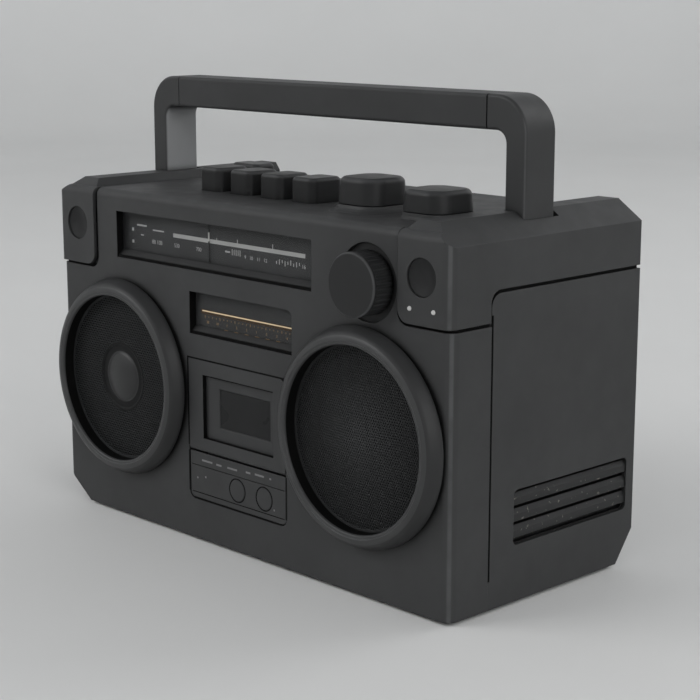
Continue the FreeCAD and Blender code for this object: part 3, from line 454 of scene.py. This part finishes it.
BAR, BAR_TALL = (-81.0, 66.0, 230.4), 3.0       # long pale bar on the dial: x0, x1, middle z; its height
NEEDLE_LIT = (-0.2, 6.4)        # lit part of the dial needle, from the bar's middle upwards
NEEDLE_FADE = 0.4
NEEDLE_DARK, NEEDLE_PALE = (0.01, 0.01, 0.01), (0.55, 0.55, 0.52)


def needle_paint():
    """Dial needle: pale where it crosses the scale and black below and above."""
    s = Shader("pointer")
    height = s.node("SeparateXYZ")
    s.link(s.place(), height.inputs[0])
    low, high = (BAR[2] + offset for offset in NEEDLE_LIT)
    up = s.remap(height.outputs["Z"], low * MM, (low + NEEDLE_FADE) * MM)
    down = s.remap(height.outputs["Z"], (high + NEEDLE_FADE) * MM, high * MM)
    lit = s.math("MULTIPLY", up, down)
    s.link(s.blend(lit, NEEDLE_DARK, NEEDLE_PALE), s.surface.inputs["Base Color"])
    s.surface.inputs["Roughness"].default_value = 0.5
    return s.material


CHARCOAL = (0.039, 0.0396, 0.0402)      # the case and its panels
SOOT = (0.020, 0.0203, 0.0207)          # vents and dishes
CONTROL = scaled(SOOT, 0.95)            # keys and knobs
MESH_LEFT, MESH_RIGHT = (0.0158, 0.0166, 0.0172), (0.0156, 0.016, 0.0164)
GRILLE_HIGHLIGHT = (133.0, 115.0, 46.0, 2.25)      # painted highlight on the right grille's middle: x, z, radius and how much

LOOKS = {               # by material slot, and by the names that SPECIAL gives
    "case_plastic": moulded("case_plastic", CHARCOAL, 0.55, corner=0.6),
    "control_plastic": moulded("control_plastic", CONTROL, 0.42, relief=0.00002, wear_and_sheen=1.0, gloss=0.2,
                               edge=0.001, crown_highlight=0.8),
    "panel_plastic": moulded("panel_plastic", scaled(CHARCOAL, 1.02), 0.5, relief=0.00002),
    "grille_mesh": moulded("grille_mesh", MESH_LEFT, 0.5, grain=0.0003, wear_and_sheen=0.3, gloss=0.15, shade_reach=0),
    "clear_lens": clear("clear_lens", (0.03, 0.032, 0.034), 0.06, 0.04),
    "smoked_lens": plate("smoked_lens", CONTROL, 0.3),
    "dial_print": plate("dial_print", scaled(CHARCOAL, 1.3), 0.5),
    "led": glowing("led", (0.55, 0.55, 0.54), 0.3),
    "rubber": moulded("rubber", (0.012, 0.012, 0.012), 0.75, grain=0.0003, relief=0.00004, wear_and_sheen=0.3,
                      gloss=0.3),
    "cone": paper_cone("cone", (0.03, 0.031, 0.034)),
    "steel": brushed("steel", (0.5, 0.5, 0.5), 0.32),
    "brass": brushed("brass", (0.62, 0.45, 0.2), 0.3),
    "board": circuit("board"),
    "chrome": brushed("chrome", (0.78, 0.78, 0.79), 0.08),
    "nylon": moulded("nylon", (0.5, 0.49, 0.45), 0.5, relief=0.00001, wear_and_sheen=0.1),
    "pointer": needle_paint(),
    # the arms get a painted highlight on their inner faces
    "arm": moulded("arm_plastic", scaled(CHARCOAL, 0.9), 0.5, corner=0.6, inner=1.0),
    "grip": moulded("grip_plastic", scaled(CHARCOAL, 0.87), 0.55, corner=0.6),
    "door": moulded("door_plastic", scaled(CHARCOAL, 1.05), 0.5, relief=0.00002, shade_reach=0.003),
    "tuner": moulded("tuner_plastic", CONTROL, 0.42, relief=0.00002, wear_and_sheen=1.6, gloss=0.2, edge=0.0012,
                     rim_highlight=1.0),
    "vent": moulded("vent_plastic", scaled(SOOT, 1.1), 0.5, wear_and_sheen=0.9, shade_reach=0.014, dust=0.8),
    "cup": moulded("cup_plastic", SOOT, 0.5, wear_and_sheen=0.2, gloss=0.15, shade_reach=0.004),
}
SPECIAL = {             # CAD nodes whose look differs from that of their material slot
    "handle_arm_left": "arm", "handle_arm_right": "arm", "handle_grip": "grip", "top_deck": "grip",
    "side_vents": "vent", "microphones": "cup", "dial_pointer": "pointer", "tuning_knob": "tuner",
    "cassette_door": "door",
}
PAINTS = {              # of the pieces made below
    "amber": glowing("amber", (0.62, 0.48, 0.31), 0.72),
    "amber_print": glowing("amber_print", (0.22, 0.135, 0.055), 0.5),
    "amber_glow": plate("amber_glow", (0.06, 0.04, 0.022), 0.5),
    "mesh_right": moulded("grille_mesh_right", MESH_RIGHT, 0.5, grain=0.0003, wear_and_sheen=0.3, gloss=0.15,
                          shade_reach=0, swell=GRILLE_HIGHLIGHT),
    "dome": moulded("dome_paint", scaled(CHARCOAL, 0.74), 0.36, relief=0.00001, wear_and_sheen=0.2, shade_reach=0),
    "halo": moulded("dome_surround", (0.0078, 0.008, 0.0083), 0.55, relief=0.00001, wear_and_sheen=0.2, gloss=0.12,
                    shade_reach=0),
    "ring": moulded("ring_paint", scaled(CHARCOAL, 1.05), 0.4, relief=0.00002, wear_and_sheen=1.0, gloss=0.3),
    "ring_side": moulded("ring_side", scaled(CHARCOAL, 0.68), 0.45, relief=0.00002, wear_and_sheen=0.6, gloss=0.25),
    "sill": moulded("sill_paint", scaled(CHARCOAL, 0.5), 0.5, wear_and_sheen=0.3, shade_reach=0.004),
    "white": plate("print_white", (0.42, 0.42, 0.41), 0.5),
    "faint": plate("print_faint", (0.2, 0.2, 0.2), 0.5),
    # black for painted shade in ring walls, grille holes, gaps, seams and recesses
    "black": plate("black_painted_shade", (0.0022, 0.0022, 0.0022), 0.7),
}


# ---- mesh helpers -------------------------------------------------------------------------------
def make(bm, name, body, looks, stands_for=(), smooth=40.0):
    """Turns a bmesh in millimetres into a piece that rides on a body."""
    bmesh.ops.remove_doubles(bm, verts=bm.verts, dist=0.0005)
    bmesh.ops.recalc_face_normals(bm, faces=bm.faces)
    bm.transform(Matrix.Scale(MM, 4))
    data = bpy.data.meshes.new(name)
    bm.to_mesh(data)
    bm.free()
    for look in looks:
        data.materials.append(look)
    data.shade_smooth()
    data.set_sharp_from_angle(angle=math.radians(smooth))
    piece = bpy.data.objects.new(name, data)
    bpy.context.collection.objects.link(piece)
    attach(piece, body)
    if stands_for:
        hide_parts(*stands_for)
    return piece


# corners of each face of a block, numbered as add_box makes them
BOX_FACES = ((0, 1, 3, 2), (4, 6, 7, 5), (0, 4, 5, 1), (2, 3, 7, 6), (0, 2, 6, 4), (1, 5, 7, 3))


def add_box(bm, x0, x1, y0, y1, z0, z1):
    """Plain block between two corners."""
    corner = [bm.verts.new((x, y, z)) for x in (x0, x1) for y in (y0, y1) for z in (z0, z1)]
    for ring in BOX_FACES:
        bm.faces.new([corner[i] for i in ring])


ON_AXIS = 1e-6                  # a smaller radius is a single point


def add_lathe(bm, x, z, outline, steps=128, index=0):
    """Surface turned about a line along Y through (x, z); outline holds (radius, y) points."""
    turns = [math.tau * k / steps for k in range(steps)]
    rings = []
    for r, y in outline:
        spots = turns if r > ON_AXIS else turns[:1]
        rings.append([bm.verts.new((x + r * math.cos(a), y, z + r * math.sin(a))) for a in spots])
    for a, b in zip(rings, rings[1:]):
        for k in range(steps):
            ring = [a[k % len(a)], a[(k + 1) % len(a)], b[(k + 1) % len(b)], b[k % len(b)]]
            ring = list(dict.fromkeys(ring))        # a point on the axis counts once
            if len(ring) > 2:
                bm.faces.new(ring).material_index = index


TEXT_SIZE, TEXT_T = 1.35, 0.06  # font size per millimetre of digit height, and half its thickness


def add_text(bm, text, x, y, z, height):
    """Flat lettering that faces the listener, as thin solid strokes about a middle x."""
    curve = bpy.data.curves.new("text", "FONT")
    curve.body, curve.size, curve.extrude = text, height * TEXT_SIZE, TEXT_T
    curve.align_x = "CENTER"
    holder = bpy.data.objects.new("text", curve)
    data = bpy.data.meshes.new_from_object(holder)
    data.transform(Matrix.Translation((x, y, z)) @ Matrix.Rotation(math.radians(90), 4, "X"))
    bm.from_mesh(data)
    bpy.data.objects.remove(holder)
    bpy.data.curves.remove(curve)
    bpy.data.meshes.remove(data)


def arc(cx, cy, r, start, end, steps):
    """(radius, y) points round a small circle, for a lathe outline."""
    turns = [math.radians(start + (end - start) * k / steps) for k in range(steps + 1)]
    return [(cx + r * math.cos(a), cy + r * math.sin(a)) for a in turns]


# ---- speakers -----------------------------------------------------------------------------------
HOLE_PITCH, HOLE_R, HOLE_DEEP = 2.15, 0.66, 0.8
HOLE_TAPER = 0.96       # a hole is this much narrower at its back
SHEET_SET = 11.0        # grille sheet behind a ring's crest
HOOP_W = 2.6            # hoop round the field of holes
GROOVE_R = 27.0         # turned groove round the solid dome
GRILLE_CAP = {"left": (18.5, 3.6, True), "right": (38.0, 2.2, False)}   # dome radius, rise, solid
DOME_STEPS = 16
MESH, DOME, HALO, HOLE_WALL = range(4)      # order of a grille's paints; HOLE_WALL is black, painted shade in the holes


def cap_rise(d, radius, rise):
    """How far a spherical cap stands up at a distance from its middle."""
    if d >= radius:
        return 0.0
    ball = (radius ** 2 + rise ** 2) / (2 * rise)
    return math.sqrt(ball ** 2 - d ** 2) - (ball - rise)


def perforate(bm, x, y, z, inner, outer, lift, wall):
    """Field of six-sided holes between two radii; lift(d) raises the sheet and wall paints the holes."""
    row = HOLE_PITCH * math.sqrt(3) / 2
    cell = HOLE_PITCH / math.sqrt(3)
    count = int(outer / row) + 2
    turns = [math.radians(30 + 60 * k) for k in range(6)]
    levels = ((cell, 0.0), (HOLE_R, 0.0), (HOLE_R * HOLE_TAPER, HOLE_DEEP))
    for j in range(-count, count + 1):
        for i in range(-count, count + 1):
            cx, cz = (i + (j % 2) / 2) * HOLE_PITCH, j * row
            if not inner < math.hypot(cx, cz) < outer:
                continue
            rims = []
            for radius, deep in levels:
                ring = []
                for a in turns:
                    px, pz = cx + radius * math.cos(a), cz + radius * math.sin(a)
                    ring.append(bm.verts.new((x + px, y + deep - lift(math.hypot(px, pz)), z + pz)))
                rims.append(ring)
            for paint, first, second in ((MESH, rims[0], rims[1]), (wall, rims[1], rims[2])):
                for k in range(6):
                    face = bm.faces.new((first[k], first[(k + 1) % 6], second[(k + 1) % 6], second[k]))
                    face.material_index = paint


def add_solid_dome(bm, x, y, z, radius, rise):
    """Pressed cap with a dark surround that ends in a turned groove."""
    dome = []
    for k in range(DOME_STEPS + 1):
        d = radius * k / DOME_STEPS
        dome.append((d, y - cap_rise(d, radius, rise)))
    shoulder = [(radius + 0.7, y + 0.7), (radius + 1.6, y + 0.8)]
    groove = [(GROOVE_R - 2.4, y + 0.7), (GROOVE_R - 1.2, y - 0.2)]
    groove += [(GROOVE_R, y - 0.3), (GROOVE_R + 0.6, y + 0.2)]
    add_lathe(bm, x, z, dome + shoulder, index=DOME)
    add_lathe(bm, x, z, shoulder[1:] + groove, index=HALO)


def make_grille(side):
    """Perforated steel sheet in a hoop: a solid pressed dome on the left, a shallow swell on the right."""
    node = "speaker_grille_" + side
    x, z, r, _, back = disc(node)
    y = span("speaker_ring_" + side)[0].y + SHEET_SET
    radius, rise, solid = GRILLE_CAP[side]
    field = r - HOOP_W
    hoop = [(field - 0.4, y + 0.6), (field - 0.4, y - 0.3), (field, y - 0.5), (r - 0.2, y - 0.5), (r, y)]
    hoop += [(r, back), (r - 2, back), (r - 2, y + 0.8), hoop[0]]
    bm = bmesh.new()
    if solid:
        # the left grille's hole walls are black, painted shade in the holes
        perforate(bm, x, y, z, GROOVE_R - 1.5, field + 1.0, lambda d: 0.0, HOLE_WALL)
    else:
        perforate(bm, x, y, z, -1.0, field + 1.0, lambda d: cap_rise(d, radius, rise), MESH)
    add_lathe(bm, x, z, hoop)
    if solid:
        add_solid_dome(bm, x, y, z, radius, rise)
    mesh = LOOKS["grille_mesh"] if solid else PAINTS["mesh_right"]
    paints = [mesh, PAINTS["dome"], PAINTS["halo"], PAINTS["black"]]
    make(bm, "grille_" + side, "case", paints, [node], smooth=35)


RING_WIDE = 12.3        # trim from its inner wall to its outer edge
RING_FOOT, FOOT_DEEP = 2.0, 3.0         # shadow groove at its foot: inwards and forwards
RING_STEPS = 176
LIP_R, CREST_R = 1.6, 7.5               # rounding of the inner lip and of the broad outer face
FACE, WALL, FLANK = range(3)            # order of a ring's paints; WALL is black, painted shade on the inner wall and in the foot groove


def make_ring(side):
    """Speaker trim: shadow groove at the foot, broad curved outer face, crest and a fine inner lip; its inner
    wall and the groove are black, painted shade.
    """
    node = "speaker_ring_" + side
    x, z, out, y0, y1 = disc(node)
    inner, ledge = out - RING_WIDE, y1 - 3.5
    groove = y1 - FOOT_DEEP
    crest = (out - 9.3, y0 + 7.6, CREST_R)
    wall = [(inner + 1.4, y1), (inner + 1.4, ledge), (inner, ledge), (inner, y0 + 2.6)]
    face = wall[-1:] + arc(inner + LIP_R, y0 + 2.0, LIP_R, 180, 262, 6)
    face += [(inner + 2.6, y0 + 0.4), (inner + 2.9, y0)] + arc(*crest, 276, 300, 4)
    flank = face[-1:] + arc(*crest, 306, 325, 4)
    flank += [(out - 1.0, y0 + 7.3), (out - 0.3, y0 + 9.0), (out, y0 + 10.4)]
    flank += [(out, groove - 0.3), (out - 0.4, groove)]
    foot = [flank[-1], (out - RING_FOOT, groove), (out - RING_FOOT, y1), wall[0]]
    bm = bmesh.new()
    for outline, paint in ((wall, WALL), (face, FACE), (flank, FLANK), (foot, WALL)):
        add_lathe(bm, x, z, outline, steps=RING_STEPS, index=paint)
    paints = [PAINTS["ring"], PAINTS["black"], PAINTS["ring_side"]]
    make(bm, "trim_ring_" + side, "case", paints, [node], smooth=26)


# ---- dial and meter -----------------------------------------------------------------------------
PRINT_T, PRINT_IN = 0.1, 0.02                   # print stands this far off its plate, and sinks this far in
DIAL_DASHES = (                 # middle x, height above the bar's middle, width, height of each dash
    (-6.5, 2.7, 0.8, 3.0), (32.0, 3.0, 0.8, 3.6), (-17.7, -5.8, 5.6, 1.3), (-131.0, -0.1, 2.2, 2.4),
    (-131.0, -9.5, 2.2, 2.4), (-119.7, 3.8, 12.0, 1.3), (-119.3, -3.6, 3.6, 0.8), (-99.2, 1.5, 13.6, 1.0),
)
DIAL_TEXT = (                   # plain band figures: middle x, height above the bar's middle, digit height
    ("530", -77.0, -9.0, 3.2), ("700", -51.0, -9.0, 3.2), ("9", 2.0, -9.0, 2.8), ("10", 8.6, -9.0, 2.8),
    ("11", 16.4, -9.0, 2.8), ("12", 24.0, -9.0, 2.8), ("16", 64.5, -9.0, 3.0), ("6", -30.0, 1.6, 2.0),
    ("88 108", -101.0, -9.0, 3.4),
)
CLOSE_TICKS, WIDE_TICKS = (-12.5, 2.2, 5), (36.0, 3.0, 9)       # two runs: first x, pitch and count


def add_mark(bm, y, x, z, wide, tall):
    """Flat printed dash about a middle x and z."""
    add_box(bm, x - wide / 2, x + wide / 2, y - PRINT_T, y + PRINT_IN, z - tall / 2, z + tall / 2)


def make_dial():
    """Printed tuning scale: one long bar, band marks at its left and uneven ticks under it."""
    y = span("dial_scale")[0].y - PRINT_IN
    x0, x1, z = BAR
    bm = bmesh.new()
    add_box(bm, x0, x1, y - PRINT_T, y + PRINT_IN, z - BAR_TALL / 2, z + BAR_TALL / 2)
    for x, up, wide, tall in DIAL_DASHES:
        add_mark(bm, y, x, z + up, wide, tall)
    start, pitch, count = CLOSE_TICKS
    for k in range(count):
        add_mark(bm, y, start + pitch * k, z - 5.6, 0.7, 4.6 - 0.5 * (k % 2))
    start, pitch, count = WIDE_TICKS
    for k in range(count):
        add_mark(bm, y, start + pitch * k, z - 7.6 + 0.6 * (k % 3), 0.75, 2.2 + 1.5 * (k % 2))
    for text, x, up, height in DIAL_TEXT:
        add_text(bm, text, x, y, z + up, height)
    make(bm, "dial_marks", "case", [PAINTS["white"]])


# ---- black linings: painted shade in gaps, seams and recesses -----------------------------------
GAP = 0.8                       # clearance round the cassette door and the control panel
FLANGE, NARROW = 0.8, 0.5       # how far the liner's lip laps over the case, at the sides and elsewhere
LIP_T, LINER_T = 0.05, 1.5      # the lip's thickness and the liner's depth
LINER_CLEAR = 0.08              # liner short of the door and the panel
LINER_CORNER = 5.0              # it stops before the panel's rounded lower corners
HINGE_ROOM = 4.0                # and above the door's hinge
PANEL_GROOVE = (38.15, 38.85)   # lower groove across the control panel, bottom and top
GROOVE_END = 1.6                # where it starts from each side
PANEL_SET = 0.4                 # the panel lies a little behind the case front
BUTTON_RING = (0.1, 0.6, 1.0)   # black ring of painted shade round a button: its start, its bore and its lip's end, outwards


def panel_face():
    """Front plane of the control panel."""
    return span("front_cabinet")[0].y + PANEL_SET


def add_liner_sides(bm, x0, x1, y, spans):
    """Upright runs of the gap liner on both sides, each with a flat lip on the case."""
    for out, into in ((x0, x0 + GAP - LINER_CLEAR), (x1, x1 - GAP + LINER_CLEAR)):
        lap = out - FLANGE if out < into else out + FLANGE
        for z0, z1 in spans:
            add_box(bm, min(out, into), max(out, into), y + LIP_T, y + LINER_T, z0, z1)
            add_box(bm, min(lap, into), max(lap, into), y, y + LIP_T, z0, z1)


def add_button_ring(bm, node, face):
    """Black ring of painted shade in the clearance round a button, with a thin lip on the panel."""
    x, z, r, _, _ = disc(node)
    near, bore, lip = (r + step for step in BUTTON_RING)
    deep, proud = face + 0.6, face - 0.03
    ring = [(near, deep), (near, proud), (lip, proud), (lip, face + 0.01)]
    ring += [(bore, face + 0.01), (bore, deep), ring[0]]
    add_lathe(bm, x, z, ring, steps=64)


def make_gap_shade_liners():
    """Black liner that paints shade in the clearance round the cassette door and the control panel, in the
    panel's lower groove and round two buttons.
    """
    bm = bmesh.new()
    door, panel, y = span("cassette_door"), span("control_panel"), span("front_cabinet")[0].y - LIP_T
    x0, x1 = panel[0].x - GAP, panel[1].x + GAP
    top, low, foot = door[1].z + GAP, panel[1].z, panel[0].z - GAP
    add_liner_sides(bm, x0, x1, y, ((low + HINGE_ROOM, top), (foot + LINER_CORNER, low)))
    upper, lower = top - GAP + LINER_CLEAR, foot + GAP - LINER_CLEAR
    left, right = x0 + LINER_CORNER, x1 - LINER_CORNER
    add_box(bm, x0 - FLANGE, x1 + FLANGE, y, y + LIP_T, upper, top + NARROW)
    add_box(bm, x0, x1, y + LIP_T, y + LINER_T, upper, top)
    add_box(bm, left, right, y, y + LIP_T, foot - NARROW, lower)
    add_box(bm, left, right, y + LIP_T, y + LINER_T, foot, lower)
    face = panel_face()
    add_box(bm, panel[0].x + GROOVE_END, panel[1].x - GROOVE_END, face + 0.02, face + 0.65, *PANEL_GROOVE)
    for node in ("record_button", "mute_button"):
        add_button_ring(bm, node, face)
    make(bm, "gap_shade_liners", "case", [PAINTS["black"]])


SEAM, SIDE_STEP = 2.4, 19.0     # seam under an end cap, and how much higher it lies behind the parting line
SEAM_DEEP, STRIP_T = 1.7, 0.8   # black strip of painted shade in the seam: how far in, and its thickness
STRIP_CLEAR = 0.02              # the strip is this much thinner than the seam, above and below
EDGE_R = 7.0                    # rounding of the upright front corners
TRENCH, TRENCH_FILL = 1.9, 0.4  # parting line on the sides: width, and how far in its black sheet of painted shade lies
TRENCH_LOW = 20.1               # its lower end above the bottom of the case
FIT = 0.1                       # clearance of a strip or filler at its ends


def add_strip(bm, path, thick, z0, z1):
    """Upright closed strip along a path of (x, y) points, thickened to the left of its direction."""
    rings = []
    for k, (x, y) in enumerate(path):
        before, after = path[max(k - 1, 0)], path[min(k + 1, len(path) - 1)]
        ahead = Vector((after[0] - before[0], after[1] - before[1])).normalized()
        inner = (x - ahead.y * thick, y + ahead.x * thick)
        corners_here = ((x, y, z0), (x, y, z1), (*inner, z1), (*inner, z0))
        rings.append([bm.verts.new(corner) for corner in corners_here])
    for first, second in zip(rings, rings[1:]):
        for k in range(4):
            bm.faces.new((first[k], first[(k + 1) % 4], second[(k + 1) % 4], second[k]))
    bm.faces.new(rings[0])
    bm.faces.new(reversed(rings[-1]))


def make_seam_strips():
    """Black strips of painted shade deep in the seams under both end caps and in the parting line on the
    sides.
    """
    bm = bmesh.new()
    front, cap = span("front_cabinet"), span("end_cap_right")
    half, y0, parting, y1 = front[1].x, front[0].y, front[1].y, span("rear_cabinet")[1].y
    side, low, inner_end = half - SEAM_DEEP, cap[0].z, cap[0].x - SEAM + FIT
    bend = arc(half - EDGE_R, y0 + EDGE_R, EDGE_R - SEAM_DEEP, 270, 360, 6)
    tab = [(inner_end, y0 + SEAM_DEEP)] + bend + [(side, parting - 0.7)]
    rear = [(side, parting + FIT), (side, y1 - SEAM_DEEP), (inner_end, y1 - SEAM_DEEP)]
    trench = (parting + FIT / 2, parting + TRENCH - FIT / 2, front[0].z + TRENCH_LOW, low - SEAM - FIT)
    for mirror in (1, -1):
        for path, z0 in ((tab, low - SEAM), (rear, low + SIDE_STEP)):
            points = [(mirror * x, y) for x, y in path]
            if mirror < 0:
                points.reverse()
            add_strip(bm, points, STRIP_T, z0 + STRIP_CLEAR, z0 + SEAM - STRIP_CLEAR)
        x0, x1 = sorted((mirror * (half - TRENCH_FILL), mirror * (half - TRENCH + FIT)))
        add_box(bm, x0, x1, *trench)
    make(bm, "seam_strips", "case", [PAINTS["black"]])


REVEAL_T = 0.2                  # black sheet of painted shade on the side walls of a recess
RECESS = 6.0                    # depth of the dial and meter recesses
LENS_LAP = 1.5                  # a lens reaches this far behind the walls of its recess
SILL_DROP = 4.0                 # a window's lower edge below its lens
SILL_GROOVE = (0.83, 1.97)      # black line of painted shade at the foot of a sill, back from the case front
SILL_GROOVE_Z = (-0.9, 1.9)     # the box that blackens it, from the window's lower edge
SILL_SKIN = 0.12                # thickness of the dark skin on a sill
DOOR_RECESS = (-38.0, 41.0, 82.0, 131.0)        # step in the cassette door: x0, x1, z0, z1
DOOR_STEP = 3.2                 # its depth
DOOR_LINE = 0.7                 # black line of painted shade along its top


def add_sill(bm, x0, x1, front, foot):
    """Dark skin on the sloping sill under a window."""
    low, high = SILL_GROOVE[1] + FIT, RECESS - FIT
    outline = [(low, low + 0.01), (high, high + 0.01), (high, high + SILL_SKIN), (low, low + SILL_SKIN)]
    left = [bm.verts.new((x0, front + y, foot + z)) for y, z in outline]
    right = [bm.verts.new((x1, front + y, foot + z)) for y, z in outline]
    bm.faces.new(left)
    bm.faces.new(reversed(right))
    for k in range(4):
        bm.faces.new((left[k], left[(k + 1) % 4], right[(k + 1) % 4], right[k]))


def make_window_reveals():
    """Black side and top walls of the dial and meter recesses and the groove at their feet, as painted shade,
    and their dark sills.
    """
    walls, sills = bmesh.new(), bmesh.new()
    for node in ("dial_lens", "meter_lens"):
        lo, hi = span(node)
        x0, x1, z0, z1 = lo.x + LENS_LAP, hi.x - LENS_LAP, lo.z - 3.5, hi.z - LENS_LAP
        front, foot = lo.y - RECESS, lo.z - SILL_DROP
        groove = (front + SILL_GROOVE[0], front + SILL_GROOVE[1])
        add_box(walls, x0, x0 + REVEAL_T, front + 0.3, lo.y, z0, z1)
        add_box(walls, x0, x1, front + 0.6, lo.y, z1 - REVEAL_T, z1)
        add_box(walls, x0, x1, *groove, foot + SILL_GROOVE_Z[0], foot + SILL_GROOVE_Z[1])
        add_sill(sills, x0, x1, front, foot)
    make(walls, "window_reveals", "case", [PAINTS["black"]])
    make(sills, "window_sills", "case", [PAINTS["sill"]])


def make_door_reveals():
    """Black walls of the step in the cassette door, as painted shade; they move with it."""
    front = span("cassette_door")[0].y
    x0, x1, z0, z1 = DOOR_RECESS
    bm = bmesh.new()
    add_box(bm, x0, x0 + REVEAL_T, front + 0.2, front + DOOR_STEP, z0, z1)
    add_box(bm, x0, x1, front + 0.4, front + DOOR_STEP, z1 - REVEAL_T, z1)
    add_box(bm, x0, x1, front + 0.1, front + 0.6, z1 - DOOR_LINE, z1)
    add_box(bm, x0, x1, front + 0.4, front + DOOR_STEP, z0, z0 + REVEAL_T)
    make(bm, "door_reveals", "tape_door", [PAINTS["black"]])


# ---- marks on the meter and the control panel ---------------------------------------------------
METER_LINE = (-45.0, 55.0, 177.9)       # lit line in the meter: x0, x1, z
LINE_TALL, LINE_PROUD = 0.8, 0.3
GLOW_REACH = (1.5, 2.4, 1.0)            # faint light round it: at the ends, below and above
TICK_ROW, TEXT_ROW, BAR_ROW = 4.2, 9.0, 11.6    # how far below the line each row of marks lies
METER_TICKS, TICKS_IN = 23, 3.0         # how many ticks, and how far inside the line's ends they stay
METER_TEXT = ("20", "10", "7", "5", "3", "1", "0", "2", "4")
TEXT_IN, TEXT_PITCH = 6.0, 11.0         # its first figure from the line's left end, and the step to the next
BARS = (-18.0, 11.5, 6)                 # short bars: first x, pitch and count


def make_meter():
    """Lit line across the meter, its faint glow, and a row of ticks, figures and short bars under it."""
    y = span("meter_scale")[0].y - PRINT_IN
    x0, x1, z = METER_LINE
    line, glow, marks = bmesh.new(), bmesh.new(), bmesh.new()
    add_box(line, x0, x1, y - LINE_PROUD, y + PRINT_IN, z - LINE_TALL / 2, z + LINE_TALL / 2)
    make(line, "meter_line", "case", [PAINTS["amber"]])
    ends, below, above = GLOW_REACH
    add_box(glow, x0 - ends, x1 + ends, y - PRINT_T / 2, y + PRINT_IN, z - below, z + above)
    make(glow, "meter_glow", "case", [PAINTS["amber_glow"]])
    pitch = (x1 - x0 - 2 * TICKS_IN) / (METER_TICKS - 1)
    for k in range(METER_TICKS):
        add_mark(marks, y, x0 + TICKS_IN + k * pitch, z - TICK_ROW, 0.5, 1.9 if k % 4 == 0 else 1.0)
    for k, text in enumerate(METER_TEXT):
        add_text(marks, text, x0 + TEXT_IN + TEXT_PITCH * k, y, z - TEXT_ROW, 2.1)
    start, pitch, count = BARS
    for k in range(count):
        add_mark(marks, y, start + pitch * k, z - BAR_ROW, 4.2, 0.6)
    make(marks, "meter_marks", "case", [PAINTS["amber_print"]])


PANEL_DASHES = (        # middle x, middle z and width
    (-34.5, 64.6, 12), (-20.8, 64.4, 6), (-5.5, 64.6, 11), (12.5, 65.4, 5), (25.0, 65.8, 10), (37.0, 65.6, 2),
)
PANEL_DOTS = ((-46.0, 50.0), (-36.5, 52.0), (41.0, 43.0))
DOT = 1.4               # height of a dash and size of a dot


def make_panel_print():
    """Row of faint dashes along the top of the control panel, and three dots."""
    y = span("control_panel")[0].y - PRINT_IN / 2
    bm = bmesh.new()
    for x, z, wide in PANEL_DASHES:
        add_mark(bm, y, x, z, wide, DOT)
    for x, z in PANEL_DOTS:
        add_mark(bm, y, x, z, DOT, DOT)
    make(bm, "panel_marks", "case", [PAINTS["faint"]])


# ---- everything together ------------------------------------------------------------------------
def dress_cad():
    """Gives every shown CAD node its look."""
    slots = {part["node"]: part["material_slot"] for part in frame["record"]["subparts"]}
    for node, obj in frame["nodes"].items():
        obj.data.materials.clear()
        obj.data.materials.append(LOOKS[SPECIAL.get(node, slots[node])])


dress_cad()
for side in ("left", "right"):
    make_grille(side)
    make_ring(side)
make_dial()
make_meter()
make_window_reveals()
make_gap_shade_liners()
make_door_reveals()
make_seam_strips()
make_panel_print()
make_camera()
make_studio()
